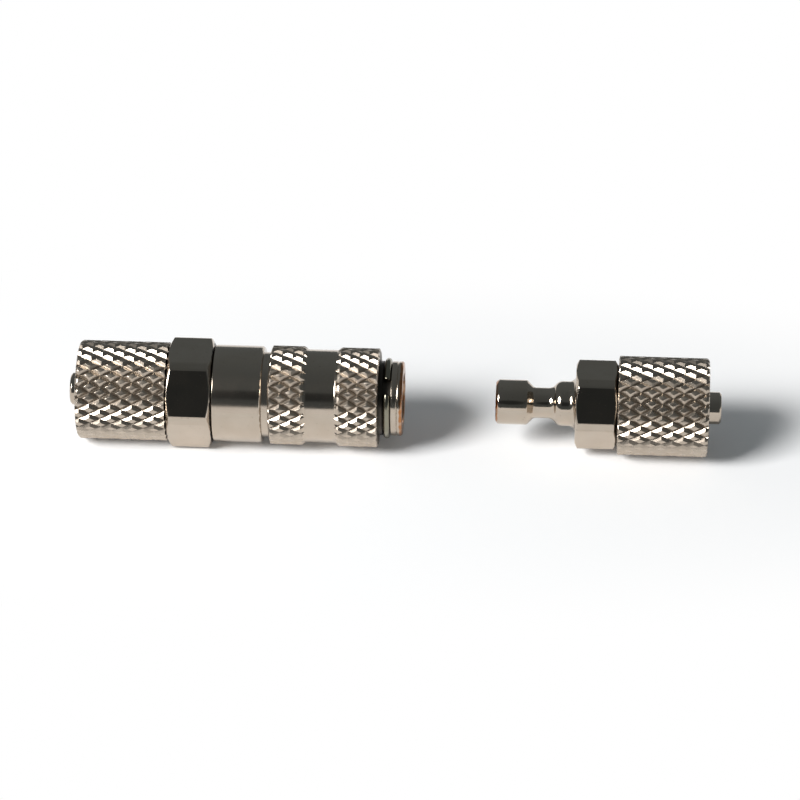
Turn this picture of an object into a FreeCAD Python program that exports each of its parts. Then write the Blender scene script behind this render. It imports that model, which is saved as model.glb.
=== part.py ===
import FreeCAD, Part
import math
import os

# Miniature ball-lock quick coupler for plastic tube, uncoupled, lying on a flat surface.
# Millimetres, +Z up. The common axis of socket and plug runs along +X, from the socket's tube
# end to the plug's tube end. The origin is the middle of the pair on the surface under it.

# Tube connection, the same on both halves
nominal_bore = 2.7
stem_diameter = 3.6
stem_barb_diameter = 4.3
stem_tip_chamfer = 0.2
barb_step = 1.0
barb_taper = 1.7
boss_diameter = 9.0
boss_length = 5.2
boss_chamfer = 0.4
tube_hole_diameter = 6.2

# Knurled tube nuts
nut_wall = 0.65
nut_length = 10.05
nut_seam = 0.05
nut_rim_round = 0.42
nut_face_chamfer = 0.12
nut_thread_relief = 0.5
nut_cone_length = 2.2
nut_mouth_chamfer = 0.25

# Diamond knurl
knurl_count = 26
knurl_helix_deg = 30.0
knurl_depth = 0.3

# Wrench hexagons, with their corners turned down
hex_corner_cut = 0.5
hex_chamfer_deg = 30.0
hex_face_inset = 0.1

# Socket tail fitting
socket_hex_flats = 11.0
socket_hex_length = 4.95
socket_stem_reach = 1.0
spigot_diameter = 8.46
spigot_length = 3.6
spring_pocket_diameter = 6.0
spring_pocket_depth = 1.5

# Socket body
mouth_chamfer = 0.35
lip_length = 1.25
lip_chamfer = 0.15
lip_line_depth = 0.08
lip_line_width = 0.18
body_guide_length = 1.4
body_barrel_diameter = 10.8
body_barrel_length = 5.6
barrel_chamfer = 0.2
plug_bore_clearance = 0.05
plug_guide_wall = 0.13
valve_bore_step = 0.2
valve_seat_depth = 10.0
valve_chamber_diameter = 6.8

# Snap ring of round wire
ring_wire = 0.75
ring_groove_depth = 0.4
ring_gap_deg = 24.0
ring_gap_at_deg = 107.0
ring_groove_play = 0.1

# Locking sleeve
sleeve_stop_clearance = 0.07
sleeve_land = 0.34
sleeve_body_gap = 0.8
sleeve_front_band = 4.75
sleeve_waist_length = 3.3
sleeve_rear_band = 4.05
sleeve_wall = 0.4
sleeve_band_rise = 0.3
sleeve_band_taper = 0.45
sleeve_end_chamfer = 0.14
sleeve_collar_length = 1.5
sleeve_relief_clearance = 0.09
lock_travel = 0.5

# Lock balls
ball_diameter = 2.2
ball_count = 6
ball_cover = 0.49
ball_bore_clearance = 0.01
ball_hole_lip_deg = 25.0

# Springs
sleeve_spring_wire = 0.5
sleeve_spring_turns = 6.0
sleeve_spring_clearance = 0.075
valve_spring_wire = 0.5
valve_spring_diameter = 5.1
valve_spring_turns = 7.0

# Valve poppet
poppet_face_gap = 0.3
poppet_bore_depth = 4.2
poppet_port_diameter = 1.5
poppet_port_setback = 0.95
poppet_flange_gap = 0.25
poppet_flange_length = 0.8
poppet_stem_diameter = 2.6
poppet_stem_length = 3.4
poppet_edge_chamfer = 0.2

# Rubber rings
plug_seal_section = 1.0
plug_seal_depth = 7.3
valve_seal_section = 0.9
valve_seal_gap = 0.2
tail_seal_section = 0.66
tail_seal_setback = 0.6

# Plug
plug_gap = 10.3
plug_nose_diameter = 5.0
plug_nose_length = 3.45
plug_nose_chamfer = 0.3
groove_floor_diameter = 3.4
groove_floor_length = 1.58
groove_nose_round = 0.5
groove_rise_length = 1.55
plug_hex_fillet = 0.75
plug_hex_flats = 9.0
plug_hex_length = 4.65
plug_stem_reach = 1.4
plug_seat_gap = 0.35

# Running clearances
slide_clearance = 0.05
thread_clearance = 0.02
contact_clearance = 0.03

# Radii that several pieces share, from the plug's nose outwards
plug_bore_radius = plug_nose_diameter / 2 + plug_bore_clearance
valve_bore_radius = plug_bore_radius + valve_bore_step
ball_radius = ball_diameter / 2
ball_reach = ball_radius + contact_clearance
ball_out_radius = plug_bore_radius + ball_bore_clearance + ball_radius
ball_in_radius = ball_out_radius - lock_travel
body_front_radius = ball_out_radius + ball_cover
ring_floor_radius = body_front_radius - ring_groove_depth
ring_radius = ring_floor_radius + ring_wire / 2
sleeve_land_radius = body_front_radius + slide_clearance
sleeve_relief_radius = ball_out_radius + ball_radius + sleeve_relief_clearance
sleeve_bore_radius = body_front_radius + sleeve_spring_wire + 2 * sleeve_spring_clearance
body_guide_radius = sleeve_bore_radius - slide_clearance
sleeve_waist_radius = sleeve_bore_radius + sleeve_wall
sleeve_band_radius = sleeve_waist_radius + sleeve_band_rise
plug_seal_radius = plug_nose_diameter / 2 + contact_clearance + plug_seal_section / 2
valve_chamber_radius = valve_chamber_diameter / 2
valve_seal_floor = valve_chamber_radius - valve_seal_gap - valve_seal_section
valve_seal_radius = valve_seal_floor + valve_seal_section / 2
nut_thread_radius = boss_diameter / 2 + slide_clearance
nut_radius = nut_thread_radius + nut_wall + knurl_depth
axis_z = max(nut_radius, socket_hex_flats / 2)

# Places along the socket, as depths behind its mouth
ring_depth = lip_length + ring_groove_play + ring_wire / 2
sleeve_front_depth = ring_depth + ring_wire / 2 + lock_travel + sleeve_stop_clearance
sleeve_length = sleeve_front_band + sleeve_waist_length + sleeve_rear_band
sleeve_rear_depth = sleeve_front_depth + sleeve_length
barrel_front_depth = sleeve_rear_depth + sleeve_body_gap
guide_front_depth = sleeve_rear_depth - body_guide_length
barrel_rear_depth = barrel_front_depth + body_barrel_length
socket_nut_depth = barrel_rear_depth + socket_hex_length
spring_seat_depth = barrel_rear_depth + spring_pocket_depth
spigot_front_depth = barrel_rear_depth - spigot_length
relief_front_depth = sleeve_front_depth + sleeve_land
ball_depth = relief_front_depth + ball_radius
relief_rear_depth = ball_depth + ball_out_radius - sleeve_relief_radius + math.sqrt(2) * ball_reach
ramp_end_depth = relief_rear_depth + sleeve_relief_radius - sleeve_land_radius
collar_rear_depth = ramp_end_depth + sleeve_collar_length
valve_bore_depth = ball_depth - ball_reach - plug_guide_wall
poppet_face_depth = ball_depth + ball_radius + poppet_face_gap
valve_seal_depth = valve_seat_depth + valve_seal_radius - valve_bore_radius + (
    math.sqrt(2) * (valve_seal_section / 2 + contact_clearance))
poppet_flange_depth = valve_seal_depth + valve_seal_section / 2 + contact_clearance
valve_spring_start = poppet_flange_depth + poppet_flange_length

# Lengths along the plug, from the tip of its nose; home, its groove lies under the balls
plug_insertion = ball_depth + plug_nose_length + (
    math.sqrt(2) * ball_reach - (ball_in_radius - plug_nose_diameter / 2))
plug_hex_start = plug_insertion + plug_seat_gap
plug_nut_start = plug_hex_start + plug_hex_length

# Ends of the pair along X, with the origin half way between them
socket_length = socket_nut_depth + nut_seam + nut_length + socket_stem_reach
plug_length = plug_nut_start + nut_seam + nut_length + plug_stem_reach
mouth_x = (socket_length - plug_gap - plug_length) / 2
nose_x = mouth_x + plug_gap

x_axis = FreeCAD.Vector(1, 0, 0)
axis_point = FreeCAD.Vector(0, 0, axis_z)


def in_socket(depth):
    """X of a place this far behind the socket's mouth."""
    return mouth_x - depth


def on_plug(length):
    """X of a place this far behind the tip of the plug's nose."""
    return nose_x + length


def around(x, radius, angle_deg):
    """Point at a radius from the common axis, with the angle counted from +Y towards +Z."""
    angle = math.radians(angle_deg)
    return FreeCAD.Vector(x, radius * math.cos(angle), axis_z + radius * math.sin(angle))


def rounded_wire(outline):
    """Closed wire through (x, radius) corners; a third number rounds that corner with an arc."""
    corners = [FreeCAD.Vector(corner[0], 0, axis_z + corner[1]) for corner in outline]
    rounds = [corner[2] if len(corner) > 2 else 0.0 for corner in outline]
    starts = []
    ends = []
    arcs = []
    for index, corner in enumerate(corners):
        to_last = (corners[index - 1] - corner).normalize()
        to_next = (corners[(index + 1) % len(corners)] - corner).normalize()
        if not rounds[index]:
            starts.append(corner)
            ends.append(corner)
            arcs.append(None)
            continue
        half_angle = to_last.getAngle(to_next) / 2
        tangent = rounds[index] / math.tan(half_angle)
        bisector = (to_last + to_next).normalize()
        inset = rounds[index] / math.sin(half_angle) - rounds[index]
        starts.append(corner + to_last * tangent)
        ends.append(corner + to_next * tangent)
        arcs.append(Part.Arc(starts[-1], corner + bisector * inset, ends[-1]).toShape())
    edges = []
    for index in range(len(corners)):
        if arcs[index]:
            edges.append(arcs[index])
        run_end = starts[(index + 1) % len(corners)]
        if ends[index].distanceToPoint(run_end) > Part.Precision.confusion():
            edges.append(Part.LineSegment(ends[index], run_end).toShape())
    return Part.Wire(edges)


def turned(outline):
    """Solid turned about the common axis from a closed outline of (x, radius) corners."""
    return Part.Face(rounded_wire(outline)).revolve(axis_point, x_axis, 360)


def turned_bar(profile):
    """Turned solid with no bore: the profile is closed along the axis."""
    return turned([(profile[0][0], 0)] + profile + [(profile[-1][0], 0)])


def ring_of_round_section(x, centre_radius, section):
    """Whole ring of round section about the common axis."""
    return Part.makeTorus(centre_radius, section / 2, FreeCAD.Vector(x, 0, axis_z), x_axis)


def knurled_drum(crest, x_start, x_end, start_rim, end_rim):
    """Solid drum with a diamond knurl; each rim lists (inset, radius) from its end inwards."""
    columns = 2 * knurl_count
    root = crest - knurl_depth
    knurl_start = x_start + start_rim[-1][0]
    knurl_end = x_end - end_rim[-1][0]
    ideal_step = math.pi * crest / knurl_count / math.tan(math.radians(knurl_helix_deg))
    row_count = max(1, round((knurl_end - knurl_start) / ideal_step))
    row_step = (knurl_end - knurl_start) / row_count

    rows = [(x_start + inset, [radius] * columns) for inset, radius in start_rim[:-1]]
    for row in range(row_count + 1):
        heights = [crest if (row + column) % 2 else root for column in range(columns)]
        rows.append((knurl_start + row * row_step, heights))
    rows += [(x_end - inset, [radius] * columns) for inset, radius in reversed(end_rim[:-1])]
    points = [[around(x, radius, 360 * column / columns) for column, radius in enumerate(radii)]
              for x, radii in rows]

    faces = [Part.Face(Part.makePolygon(row + row[:1])) for row in (points[0], points[-1])]
    for low, high, heights in zip(points, points[1:], [radii for x, radii in rows]):
        for column in range(columns):
            beside = (column + 1) % columns
            corners = [low[column], low[beside], high[beside], high[column]]
            if heights[column] > heights[beside]:
                corners = corners[1:] + corners[:1]
            for triangle in (corners[:3], corners[2:] + corners[:1]):
                faces.append(Part.Face(Part.makePolygon(triangle + triangle[:1])))
    shell = Part.makeShell(faces)
    shell.sewShape()
    drum = Part.makeSolid(shell)
    if drum.Volume < 0:
        drum.reverse()
    return drum


def hexagon(x_start, x_end, flats):
    """Wrench hexagon with two flats level, its corners turned round and its ends chamfered."""
    corner_radius = flats / math.sqrt(3)
    turned_radius = corner_radius - hex_corner_cut / 2
    points = [around(x_start, corner_radius, 60 * corner) for corner in range(6)]
    prism = Part.Face(Part.makePolygon(points + points[:1])).extrude(FreeCAD.Vector(x_end - x_start, 0, 0))
    face_radius = flats / 2 - hex_face_inset
    chamfer = (turned_radius - face_radius) * math.tan(math.radians(hex_chamfer_deg))
    blank = turned_bar([
        (x_start, face_radius),
        (x_start + chamfer, turned_radius),
        (x_end - chamfer, turned_radius),
        (x_end, face_radius),
    ])
    return prism.common(blank)


def tube_stem(root_x, way, reach):
    """Profile from a hexagon's face: the nut's threaded boss, then the barbed stem for the tube."""
    barb_foot = boss_length + barb_step
    barb_end = barb_foot + barb_taper
    stem_end = nut_seam + nut_length + reach
    profile = [
        (0, boss_diameter / 2),
        (boss_length - boss_chamfer, boss_diameter / 2),
        (boss_length, boss_diameter / 2 - boss_chamfer),
        (boss_length, stem_diameter / 2),
        (barb_foot, stem_diameter / 2),
        (barb_foot, stem_barb_diameter / 2),
        (barb_end, stem_diameter / 2),
        (stem_end - stem_tip_chamfer, stem_diameter / 2),
        (stem_end, stem_diameter / 2 - stem_tip_chamfer),
    ]
    return [(root_x + way * along, radius) for along, radius in profile]


def tube_nut(root_x, way):
    """Knurled nut that clamps the tube, screwed on from the tube's end up to the hexagon."""
    root = nut_radius - knurl_depth
    face_rim = [(0, root), (nut_face_chamfer, nut_radius)]
    rim_middle = nut_rim_round * (1 - math.sqrt(0.5))
    tube_rim = [(0, root - nut_rim_round), (rim_middle, root - rim_middle), (nut_rim_round, nut_radius)]
    near_x = root_x + way * nut_seam
    far_x = near_x + way * nut_length
    if way > 0:
        drum = knurled_drum(nut_radius, near_x, far_x, face_rim, tube_rim)
    else:
        drum = knurled_drum(nut_radius, far_x, near_x, tube_rim, face_rim)
    thread_end = boss_length + nut_thread_relief
    hole_radius = tube_hole_diameter / 2
    cavity = turned_bar([
        (near_x, nut_thread_radius),
        (near_x + way * thread_end, nut_thread_radius),
        (near_x + way * (thread_end + nut_cone_length), hole_radius),
        (far_x - way * nut_mouth_chamfer, hole_radius),
        (far_x, hole_radius + nut_mouth_chamfer),
    ])
    return drum.cut(cavity)


def tail_fitting():
    """Socket's rear piece: threaded spigot, hexagon, nut boss and tube stem on one bore."""
    hex_front = in_socket(barrel_rear_depth)
    hex_rear = in_socket(socket_nut_depth)
    seal_front = in_socket(barrel_rear_depth - tail_seal_setback - tail_seal_section)
    seal_rear = in_socket(barrel_rear_depth - tail_seal_setback)
    spigot_radius = spigot_diameter / 2
    seal_floor = spigot_radius + thread_clearance - tail_seal_section
    profile = [
        (in_socket(spigot_front_depth), spigot_radius - barrel_chamfer),
        (in_socket(spigot_front_depth + barrel_chamfer), spigot_radius),
        (seal_front, spigot_radius),
        (seal_front, seal_floor),
        (seal_rear, seal_floor),
        (seal_rear, spigot_radius),
        (hex_front, spigot_radius),
    ]
    blank = turned_bar(profile + tube_stem(hex_rear, -1, socket_stem_reach))
    blank = blank.fuse(hexagon(hex_rear, hex_front, socket_hex_flats))
    bore = turned_bar([
        (in_socket(spigot_front_depth), spring_pocket_diameter / 2),
        (in_socket(spring_seat_depth), spring_pocket_diameter / 2),
        (in_socket(spring_seat_depth), nominal_bore / 2),
        (in_socket(socket_length), nominal_bore / 2),
    ])
    return blank.cut(bore).removeSplitter()


def ball_angles():
    """Angles of the lock balls round the axis, the first one straight up."""
    return [90 + 360 * ball / ball_count for ball in range(ball_count)]


def ball_hole(angle_deg):
    """Radial hole for one ball, closing to a lip at the bore so that the ball can't fall through."""
    lip_slope = math.tan(math.radians(ball_hole_lip_deg))
    lip_top = ball_in_radius - ball_reach * math.tan(math.radians(ball_hole_lip_deg) / 2)
    lip_foot = plug_bore_radius - ball_radius / 2
    foot_radius = ball_reach - (lip_top - lip_foot) * lip_slope
    x = in_socket(ball_depth)
    outward = around(x, 1, angle_deg) - around(x, 0, angle_deg)
    foot = around(x, lip_foot, angle_deg)
    lip = Part.makeCone(foot_radius, ball_reach, lip_top - lip_foot, foot, outward)
    shaft = Part.makeCylinder(ball_reach, body_front_radius, around(x, lip_top, angle_deg), outward)
    return lip.fuse(shaft)


def socket_body():
    """Socket's front piece: plug bore, ball holes, seal groove, valve seat and valve chamber."""
    ring_groove_rear = lip_length + ring_wire + 2 * ring_groove_play
    profile = [
        (in_socket(0), body_front_radius - lip_chamfer),
        (in_socket(lip_chamfer), body_front_radius),
        (in_socket((lip_length - lip_line_width) / 2), body_front_radius),
        (in_socket(lip_length / 2), body_front_radius - lip_line_depth),
        (in_socket((lip_length + lip_line_width) / 2), body_front_radius),
        (in_socket(lip_length), body_front_radius),
        (in_socket(lip_length), ring_floor_radius),
        (in_socket(ring_groove_rear), ring_floor_radius),
        (in_socket(ring_groove_rear), body_front_radius),
        (in_socket(guide_front_depth), body_front_radius),
        (in_socket(guide_front_depth), body_guide_radius),
        (in_socket(barrel_front_depth), body_guide_radius),
        (in_socket(barrel_front_depth), body_barrel_diameter / 2 - barrel_chamfer),
        (in_socket(barrel_front_depth + barrel_chamfer), body_barrel_diameter / 2),
        (in_socket(barrel_rear_depth - barrel_chamfer), body_barrel_diameter / 2),
        (in_socket(barrel_rear_depth), body_barrel_diameter / 2 - barrel_chamfer),
    ]
    seal_front = plug_seal_depth - plug_seal_section / 2 - contact_clearance
    seal_rear = plug_seal_depth + plug_seal_section / 2 + contact_clearance
    seal_floor = plug_seal_radius + plug_seal_section / 2 + contact_clearance
    chamber_start = valve_seat_depth + valve_chamber_radius - valve_bore_radius
    thread_radius = spigot_diameter / 2 + thread_clearance
    thread_start = spigot_front_depth - contact_clearance
    bore = turned_bar([
        (in_socket(0), plug_bore_radius + mouth_chamfer),
        (in_socket(mouth_chamfer), plug_bore_radius),
        (in_socket(valve_bore_depth), plug_bore_radius),
        (in_socket(valve_bore_depth), valve_bore_radius),
        (in_socket(seal_front), valve_bore_radius),
        (in_socket(seal_front), seal_floor),
        (in_socket(seal_rear), seal_floor),
        (in_socket(seal_rear), valve_bore_radius),
        (in_socket(valve_seat_depth), valve_bore_radius),
        (in_socket(chamber_start), valve_chamber_radius),
        (in_socket(thread_start), valve_chamber_radius),
        (in_socket(thread_start), thread_radius),
        (in_socket(barrel_rear_depth), thread_radius),
    ])
    body = turned_bar(profile).cut(bore)
    for angle in ball_angles():
        body = body.cut(ball_hole(angle))
    return body


def lock_sleeve():
    """Sliding sleeve: two knurled bands with a plain waist, and the ball ramp and spring room inside."""
    waist_rim = [(0, sleeve_waist_radius + contact_clearance), (sleeve_band_taper, sleeve_band_radius)]
    end_rim = [(0, sleeve_band_radius - knurl_depth), (sleeve_end_chamfer, sleeve_band_radius)]
    waist_front = sleeve_front_depth + sleeve_front_band
    waist_rear = waist_front + sleeve_waist_length
    front_band = knurled_drum(sleeve_band_radius, in_socket(waist_front), in_socket(sleeve_front_depth),
                              waist_rim, end_rim)
    rear_band = knurled_drum(sleeve_band_radius, in_socket(sleeve_rear_depth), in_socket(waist_rear),
                             end_rim, waist_rim)
    waist = turned_bar([
        (in_socket(waist_rear), sleeve_waist_radius),
        (in_socket(waist_front), sleeve_waist_radius),
    ])
    cavity = turned_bar([
        (in_socket(sleeve_front_depth), sleeve_land_radius),
        (in_socket(relief_front_depth), sleeve_land_radius),
        (in_socket(relief_front_depth), sleeve_relief_radius),
        (in_socket(relief_rear_depth), sleeve_relief_radius),
        (in_socket(ramp_end_depth), sleeve_land_radius),
        (in_socket(collar_rear_depth), sleeve_land_radius),
        (in_socket(collar_rear_depth), sleeve_bore_radius),
        (in_socket(sleeve_rear_depth), sleeve_bore_radius),
    ])
    return front_band.fuse([waist, rear_band]).cut(cavity)


def coil_spring(front_depth, rear_depth, mean_radius, wire, turns):
    """Compression spring between two seats in the socket, with its ends ground flat."""
    length = rear_depth - front_depth
    ground = wire / 4
    height = length + 2 * ground
    helix = Part.makeHelix(height / turns, height, mean_radius)
    section = Part.makeCircle(wire / 2, FreeCAD.Vector(mean_radius, 0, 0), FreeCAD.Vector(0, 1, 0))
    coil = Part.Wire(helix).makePipeShell([Part.Wire(section)], True, True)
    coil.translate(FreeCAD.Vector(0, 0, -ground))
    grinding = Part.makeCylinder(2 * mean_radius, wire, FreeCAD.Vector(0, 0, -wire))
    spring = coil.cut(grinding).cut(grinding.translated(FreeCAD.Vector(0, 0, length + wire)))
    spring.rotate(FreeCAD.Vector(0, 0, 0), FreeCAD.Vector(0, 1, 0), 90)
    spring.translate(FreeCAD.Vector(in_socket(rear_depth), 0, axis_z))
    return spring


def sleeve_spring():
    """Spring that drives the sleeve towards the mouth, between its collar and the body's guide."""
    mean_radius = (body_front_radius + sleeve_bore_radius) / 2
    return coil_spring(collar_rear_depth, guide_front_depth, mean_radius,
                       sleeve_spring_wire, sleeve_spring_turns)


def valve_spring():
    """Spring that shuts the valve, between the poppet's flange and the tail's pocket."""
    mean_radius = (valve_spring_diameter - valve_spring_wire) / 2
    return coil_spring(valve_spring_start, spring_seat_depth, mean_radius,
                       valve_spring_wire, valve_spring_turns)


def snap_ring():
    """Open ring of round wire that keeps the sleeve on the body."""
    gap_end = ring_gap_at_deg + ring_gap_deg / 2
    x = in_socket(ring_depth)
    start = around(x, ring_radius, gap_end)
    tangent = x_axis.cross(start - around(x, 0, gap_end))
    section = Part.Face(Part.Wire(Part.makeCircle(ring_wire / 2, start, tangent)))
    return section.revolve(axis_point, x_axis, 360 - ring_gap_deg)


def lock_ball(angle_deg):
    """One lock ball, held out of the plug's way by the sleeve's relief."""
    return Part.makeSphere(ball_radius, around(in_socket(ball_depth), ball_out_radius, angle_deg))


def valve_poppet():
    """Valve body that the plug's nose pushes in: ported head, seal groove, flange and spring stem."""
    head_radius = plug_nose_diameter / 2
    flange_radius = valve_chamber_radius - poppet_flange_gap
    groove_front = valve_seal_depth - valve_seal_section / 2 - contact_clearance
    stem_end = valve_spring_start + poppet_stem_length
    poppet = turned_bar([
        (in_socket(poppet_face_depth), head_radius - poppet_edge_chamfer),
        (in_socket(poppet_face_depth + poppet_edge_chamfer), head_radius),
        (in_socket(groove_front), head_radius),
        (in_socket(groove_front), valve_seal_floor),
        (in_socket(poppet_flange_depth), valve_seal_floor),
        (in_socket(poppet_flange_depth), flange_radius),
        (in_socket(valve_spring_start), flange_radius),
        (in_socket(valve_spring_start), poppet_stem_diameter / 2),
        (in_socket(stem_end - poppet_edge_chamfer), poppet_stem_diameter / 2),
        (in_socket(stem_end), poppet_stem_diameter / 2 - poppet_edge_chamfer),
    ])
    bore_end = poppet_face_depth + poppet_bore_depth
    bore = turned_bar([
        (in_socket(poppet_face_depth), nominal_bore / 2),
        (in_socket(bore_end), nominal_bore / 2),
    ])
    poppet = poppet.cut(bore)
    port_x = in_socket(bore_end - poppet_port_setback)
    for angle in (0, 90):
        foot = around(port_x, -plug_nose_diameter, angle)
        across = around(port_x, plug_nose_diameter, angle) - foot
        poppet = poppet.cut(Part.makeCylinder(poppet_port_diameter / 2, across.Length, foot, across))
    return poppet


def plug_seal():
    """Rubber ring in the body's groove that closes on the plug's nose."""
    return ring_of_round_section(in_socket(plug_seal_depth), plug_seal_radius, plug_seal_section)


def valve_seal():
    """Rubber ring on the poppet that closes on the body's cone."""
    return ring_of_round_section(in_socket(valve_seal_depth), valve_seal_radius, valve_seal_section)


def tail_seal():
    """Rubber ring on the tail's spigot that closes the screwed joint to the body."""
    depth = barrel_rear_depth - tail_seal_setback - tail_seal_section / 2
    radius = spigot_diameter / 2 + thread_clearance - tail_seal_section / 2
    return ring_of_round_section(in_socket(depth), radius, tail_seal_section)


def plug_body():
    """Plug in one piece: nose, locking groove, collar, hexagon, nut boss and tube stem on one bore."""
    nose_radius = plug_nose_diameter / 2
    floor_radius = groove_floor_diameter / 2
    slope_length = nose_radius - floor_radius
    floor_start = plug_nose_length + slope_length
    floor_end = floor_start + groove_floor_length
    rise_end = floor_end + groove_rise_length
    # The rise to the collar is two equal arcs that meet half way up.
    rise_round = (groove_rise_length ** 2 + slope_length ** 2) / (4 * slope_length)
    rise_tangent = rise_round * slope_length / groove_rise_length
    profile = [
        (on_plug(0), nose_radius - plug_nose_chamfer),
        (on_plug(plug_nose_chamfer), nose_radius),
        (on_plug(plug_nose_length), nose_radius),
        (on_plug(floor_start), floor_radius, groove_nose_round),
        (on_plug(floor_end + rise_tangent), floor_radius, rise_round),
        (on_plug(rise_end - rise_tangent), nose_radius, rise_round),
        (on_plug(plug_hex_start), nose_radius, plug_hex_fillet),
        (on_plug(plug_hex_start), plug_hex_flats / 2 - hex_face_inset),
    ]
    hex_rear = on_plug(plug_nut_start)
    blank = turned_bar(profile + tube_stem(hex_rear, 1, plug_stem_reach))
    blank = blank.fuse(hexagon(on_plug(plug_hex_start), hex_rear, plug_hex_flats))
    bore = turned_bar([(on_plug(0), nominal_bore / 2), (on_plug(plug_length), nominal_bore / 2)])
    return blank.cut(bore).removeSplitter()


pieces = {
    "socket_tube_nut": tube_nut(in_socket(socket_nut_depth), -1),
    "tail_fitting": tail_fitting(),
    "tail_seal": tail_seal(),
    "socket_body": socket_body(),
    "plug_seal": plug_seal(),
    "valve_poppet": valve_poppet(),
    "valve_seal": valve_seal(),
    "valve_spring": valve_spring(),
    "lock_sleeve": lock_sleeve(),
    "sleeve_spring": sleeve_spring(),
    "snap_ring": snap_ring(),
    "plug_body": plug_body(),
    "plug_tube_nut": tube_nut(on_plug(plug_nut_start), 1),
}
for number, ball_angle in enumerate(ball_angles(), start=1):
    pieces[f"lock_ball_{number}"] = lock_ball(ball_angle)

os.makedirs("parts", exist_ok=True)
for node, piece in pieces.items():
    piece.exportStep(f"parts/{node}.step")
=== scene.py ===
"""Miniature ball-lock quick coupler: turned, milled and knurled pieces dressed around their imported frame."""

import math

import bmesh
import bpy
from bpy.props import FloatProperty, FloatVectorProperty, IntProperty, PointerProperty
from bpy.types import Operator, Panel, PropertyGroup
from mathutils import Matrix, Vector


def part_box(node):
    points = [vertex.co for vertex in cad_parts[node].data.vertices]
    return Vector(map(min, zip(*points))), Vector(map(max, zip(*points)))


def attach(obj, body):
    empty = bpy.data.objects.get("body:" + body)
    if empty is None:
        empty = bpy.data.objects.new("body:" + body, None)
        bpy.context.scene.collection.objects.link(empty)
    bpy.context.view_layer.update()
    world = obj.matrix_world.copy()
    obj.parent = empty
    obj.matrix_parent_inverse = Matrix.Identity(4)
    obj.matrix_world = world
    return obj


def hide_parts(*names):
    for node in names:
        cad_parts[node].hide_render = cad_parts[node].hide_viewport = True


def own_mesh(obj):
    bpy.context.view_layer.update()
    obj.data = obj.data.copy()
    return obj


bl_info = {
    "name": "Ball-lock quick coupler",
    "version": (1, 0, 0),
    "blender": (4, 5, 0),
    "location": "View3D > Sidebar > Coupler",
    "description": "Models and finishes a miniature quick coupler around its packed frame",
    "category": "Add Mesh",
}

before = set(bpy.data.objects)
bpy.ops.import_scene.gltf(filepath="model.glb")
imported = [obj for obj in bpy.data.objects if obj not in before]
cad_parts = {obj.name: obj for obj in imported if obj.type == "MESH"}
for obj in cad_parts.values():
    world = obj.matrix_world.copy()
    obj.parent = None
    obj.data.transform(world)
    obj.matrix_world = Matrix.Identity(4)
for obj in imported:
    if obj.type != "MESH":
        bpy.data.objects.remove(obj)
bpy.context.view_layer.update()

MM = 0.001
# Pieces are modelled at a thousand times their size, so that tolerances of the mesh tools don't blur them.
# A length at the bench is therefore a number of millimetres.
BENCH = 1000.0
# Slack at the bench: for corners that are one, cuts by a plane, a knurl's rows and the corners of flats.
MERGE = 0.0005
CUT_SLACK = MERGE / 10
ROW_SLACK = 10 * MERGE
FLAT_MERGE = 0.06
# Steps of turned pieces and of their rounds, which get more from a certain size at the bench.
TURNING_STEPS = 144
SMALL_ROUND_STEPS = 3
LARGE_ROUND_STEPS = 10
LARGE_ROUND = 0.3
# Drills, which are longer at the bench than a drilled piece is wide.
DRILL_SIDES = 40
DRILL_LENGTH = 12.0
BALL_HOLES_DEG = (0, 60, 120)
PORTS_DEG = (0, 90)
# Depth of a drilled hole's point, as a share of its radius, and the radius of the core that turning leaves.
DRILL_POINT = 0.3
CORE_RADIUS = 0.03 * MM
# Broken edges of turned pieces, of fine and knurled ones, and of wrench flats.
EDGE_BREAK = 0.03 * MM
FINE_BREAK = 0.02 * MM
FLAT_BREAK = 0.11 * MM
# Edges above these angles stay edges on turned, milled and round pieces.
SMOOTH_DEG = 32
SMOOTH_MILLED_DEG = 20
SMOOTH_ROUND_DEG = 40

# Wrench flats: their spacing, how true a flat's normal is, and what tells the ridges between them.
FLAT_TURN_DEG = 60
FLAT_COUNT = 360 // FLAT_TURN_DEG
FLAT_TRUE = 0.9999
RIDGE_TRUE = 0.02
RIDGE_FROM = 0.53
HEX_FACE_INSET = 0.1 * MM
HEX_CHAMFER_DEG = 30

# Room between the knurl's flat tops and the envelope that trims its ends.
KNURL_ALLOWANCE = 0.004 * MM
# Share of a normal that points outwards, and along the axis, on the sloping sides of the diamonds.
FLANK_OUTWARD = (0.6, 0.8)
FLANK_ALONG = (0.2, 0.45)
# Height of the sleeve's grooves above its waist, steps at the ends of its stock, and rounds beside its waist.
SLEEVE_STAND = 0.02 * MM
STOCK_STEP = 0.01 * MM
BAND_ROUND = 0.1 * MM

# Rounds of the plug's nose, and the share of its run that each arc of the rise takes.
NOSE_ROUND = 0.12 * MM
NOSE_EDGE = 0.08 * MM
ARC_SHARE = 0.99
# Fit of the spigot in the body, round it and at its end.
THREAD_FIT = 0.02 * MM
SPIGOT_ROOM = 0.03 * MM

# Snap ring: its gap, the middle of the gap, its wire's sides, steps and broken ends.
RING_GAP = math.radians(24)
RING_GAP_MIDDLE = math.radians(107)
RING_SIDES = 28
RING_STEPS = 120
RING_END_ROUND = 0.08
# Sides of the springs' wire and steps of a turn, cuts of a ball's cube, and the round of a seal's section.
COIL_SIDES = 16
COIL_STEPS = 40
BALL_COUNT = 6
BALL_CUTS = 15
SEAL_ROUND = 0.485

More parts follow.
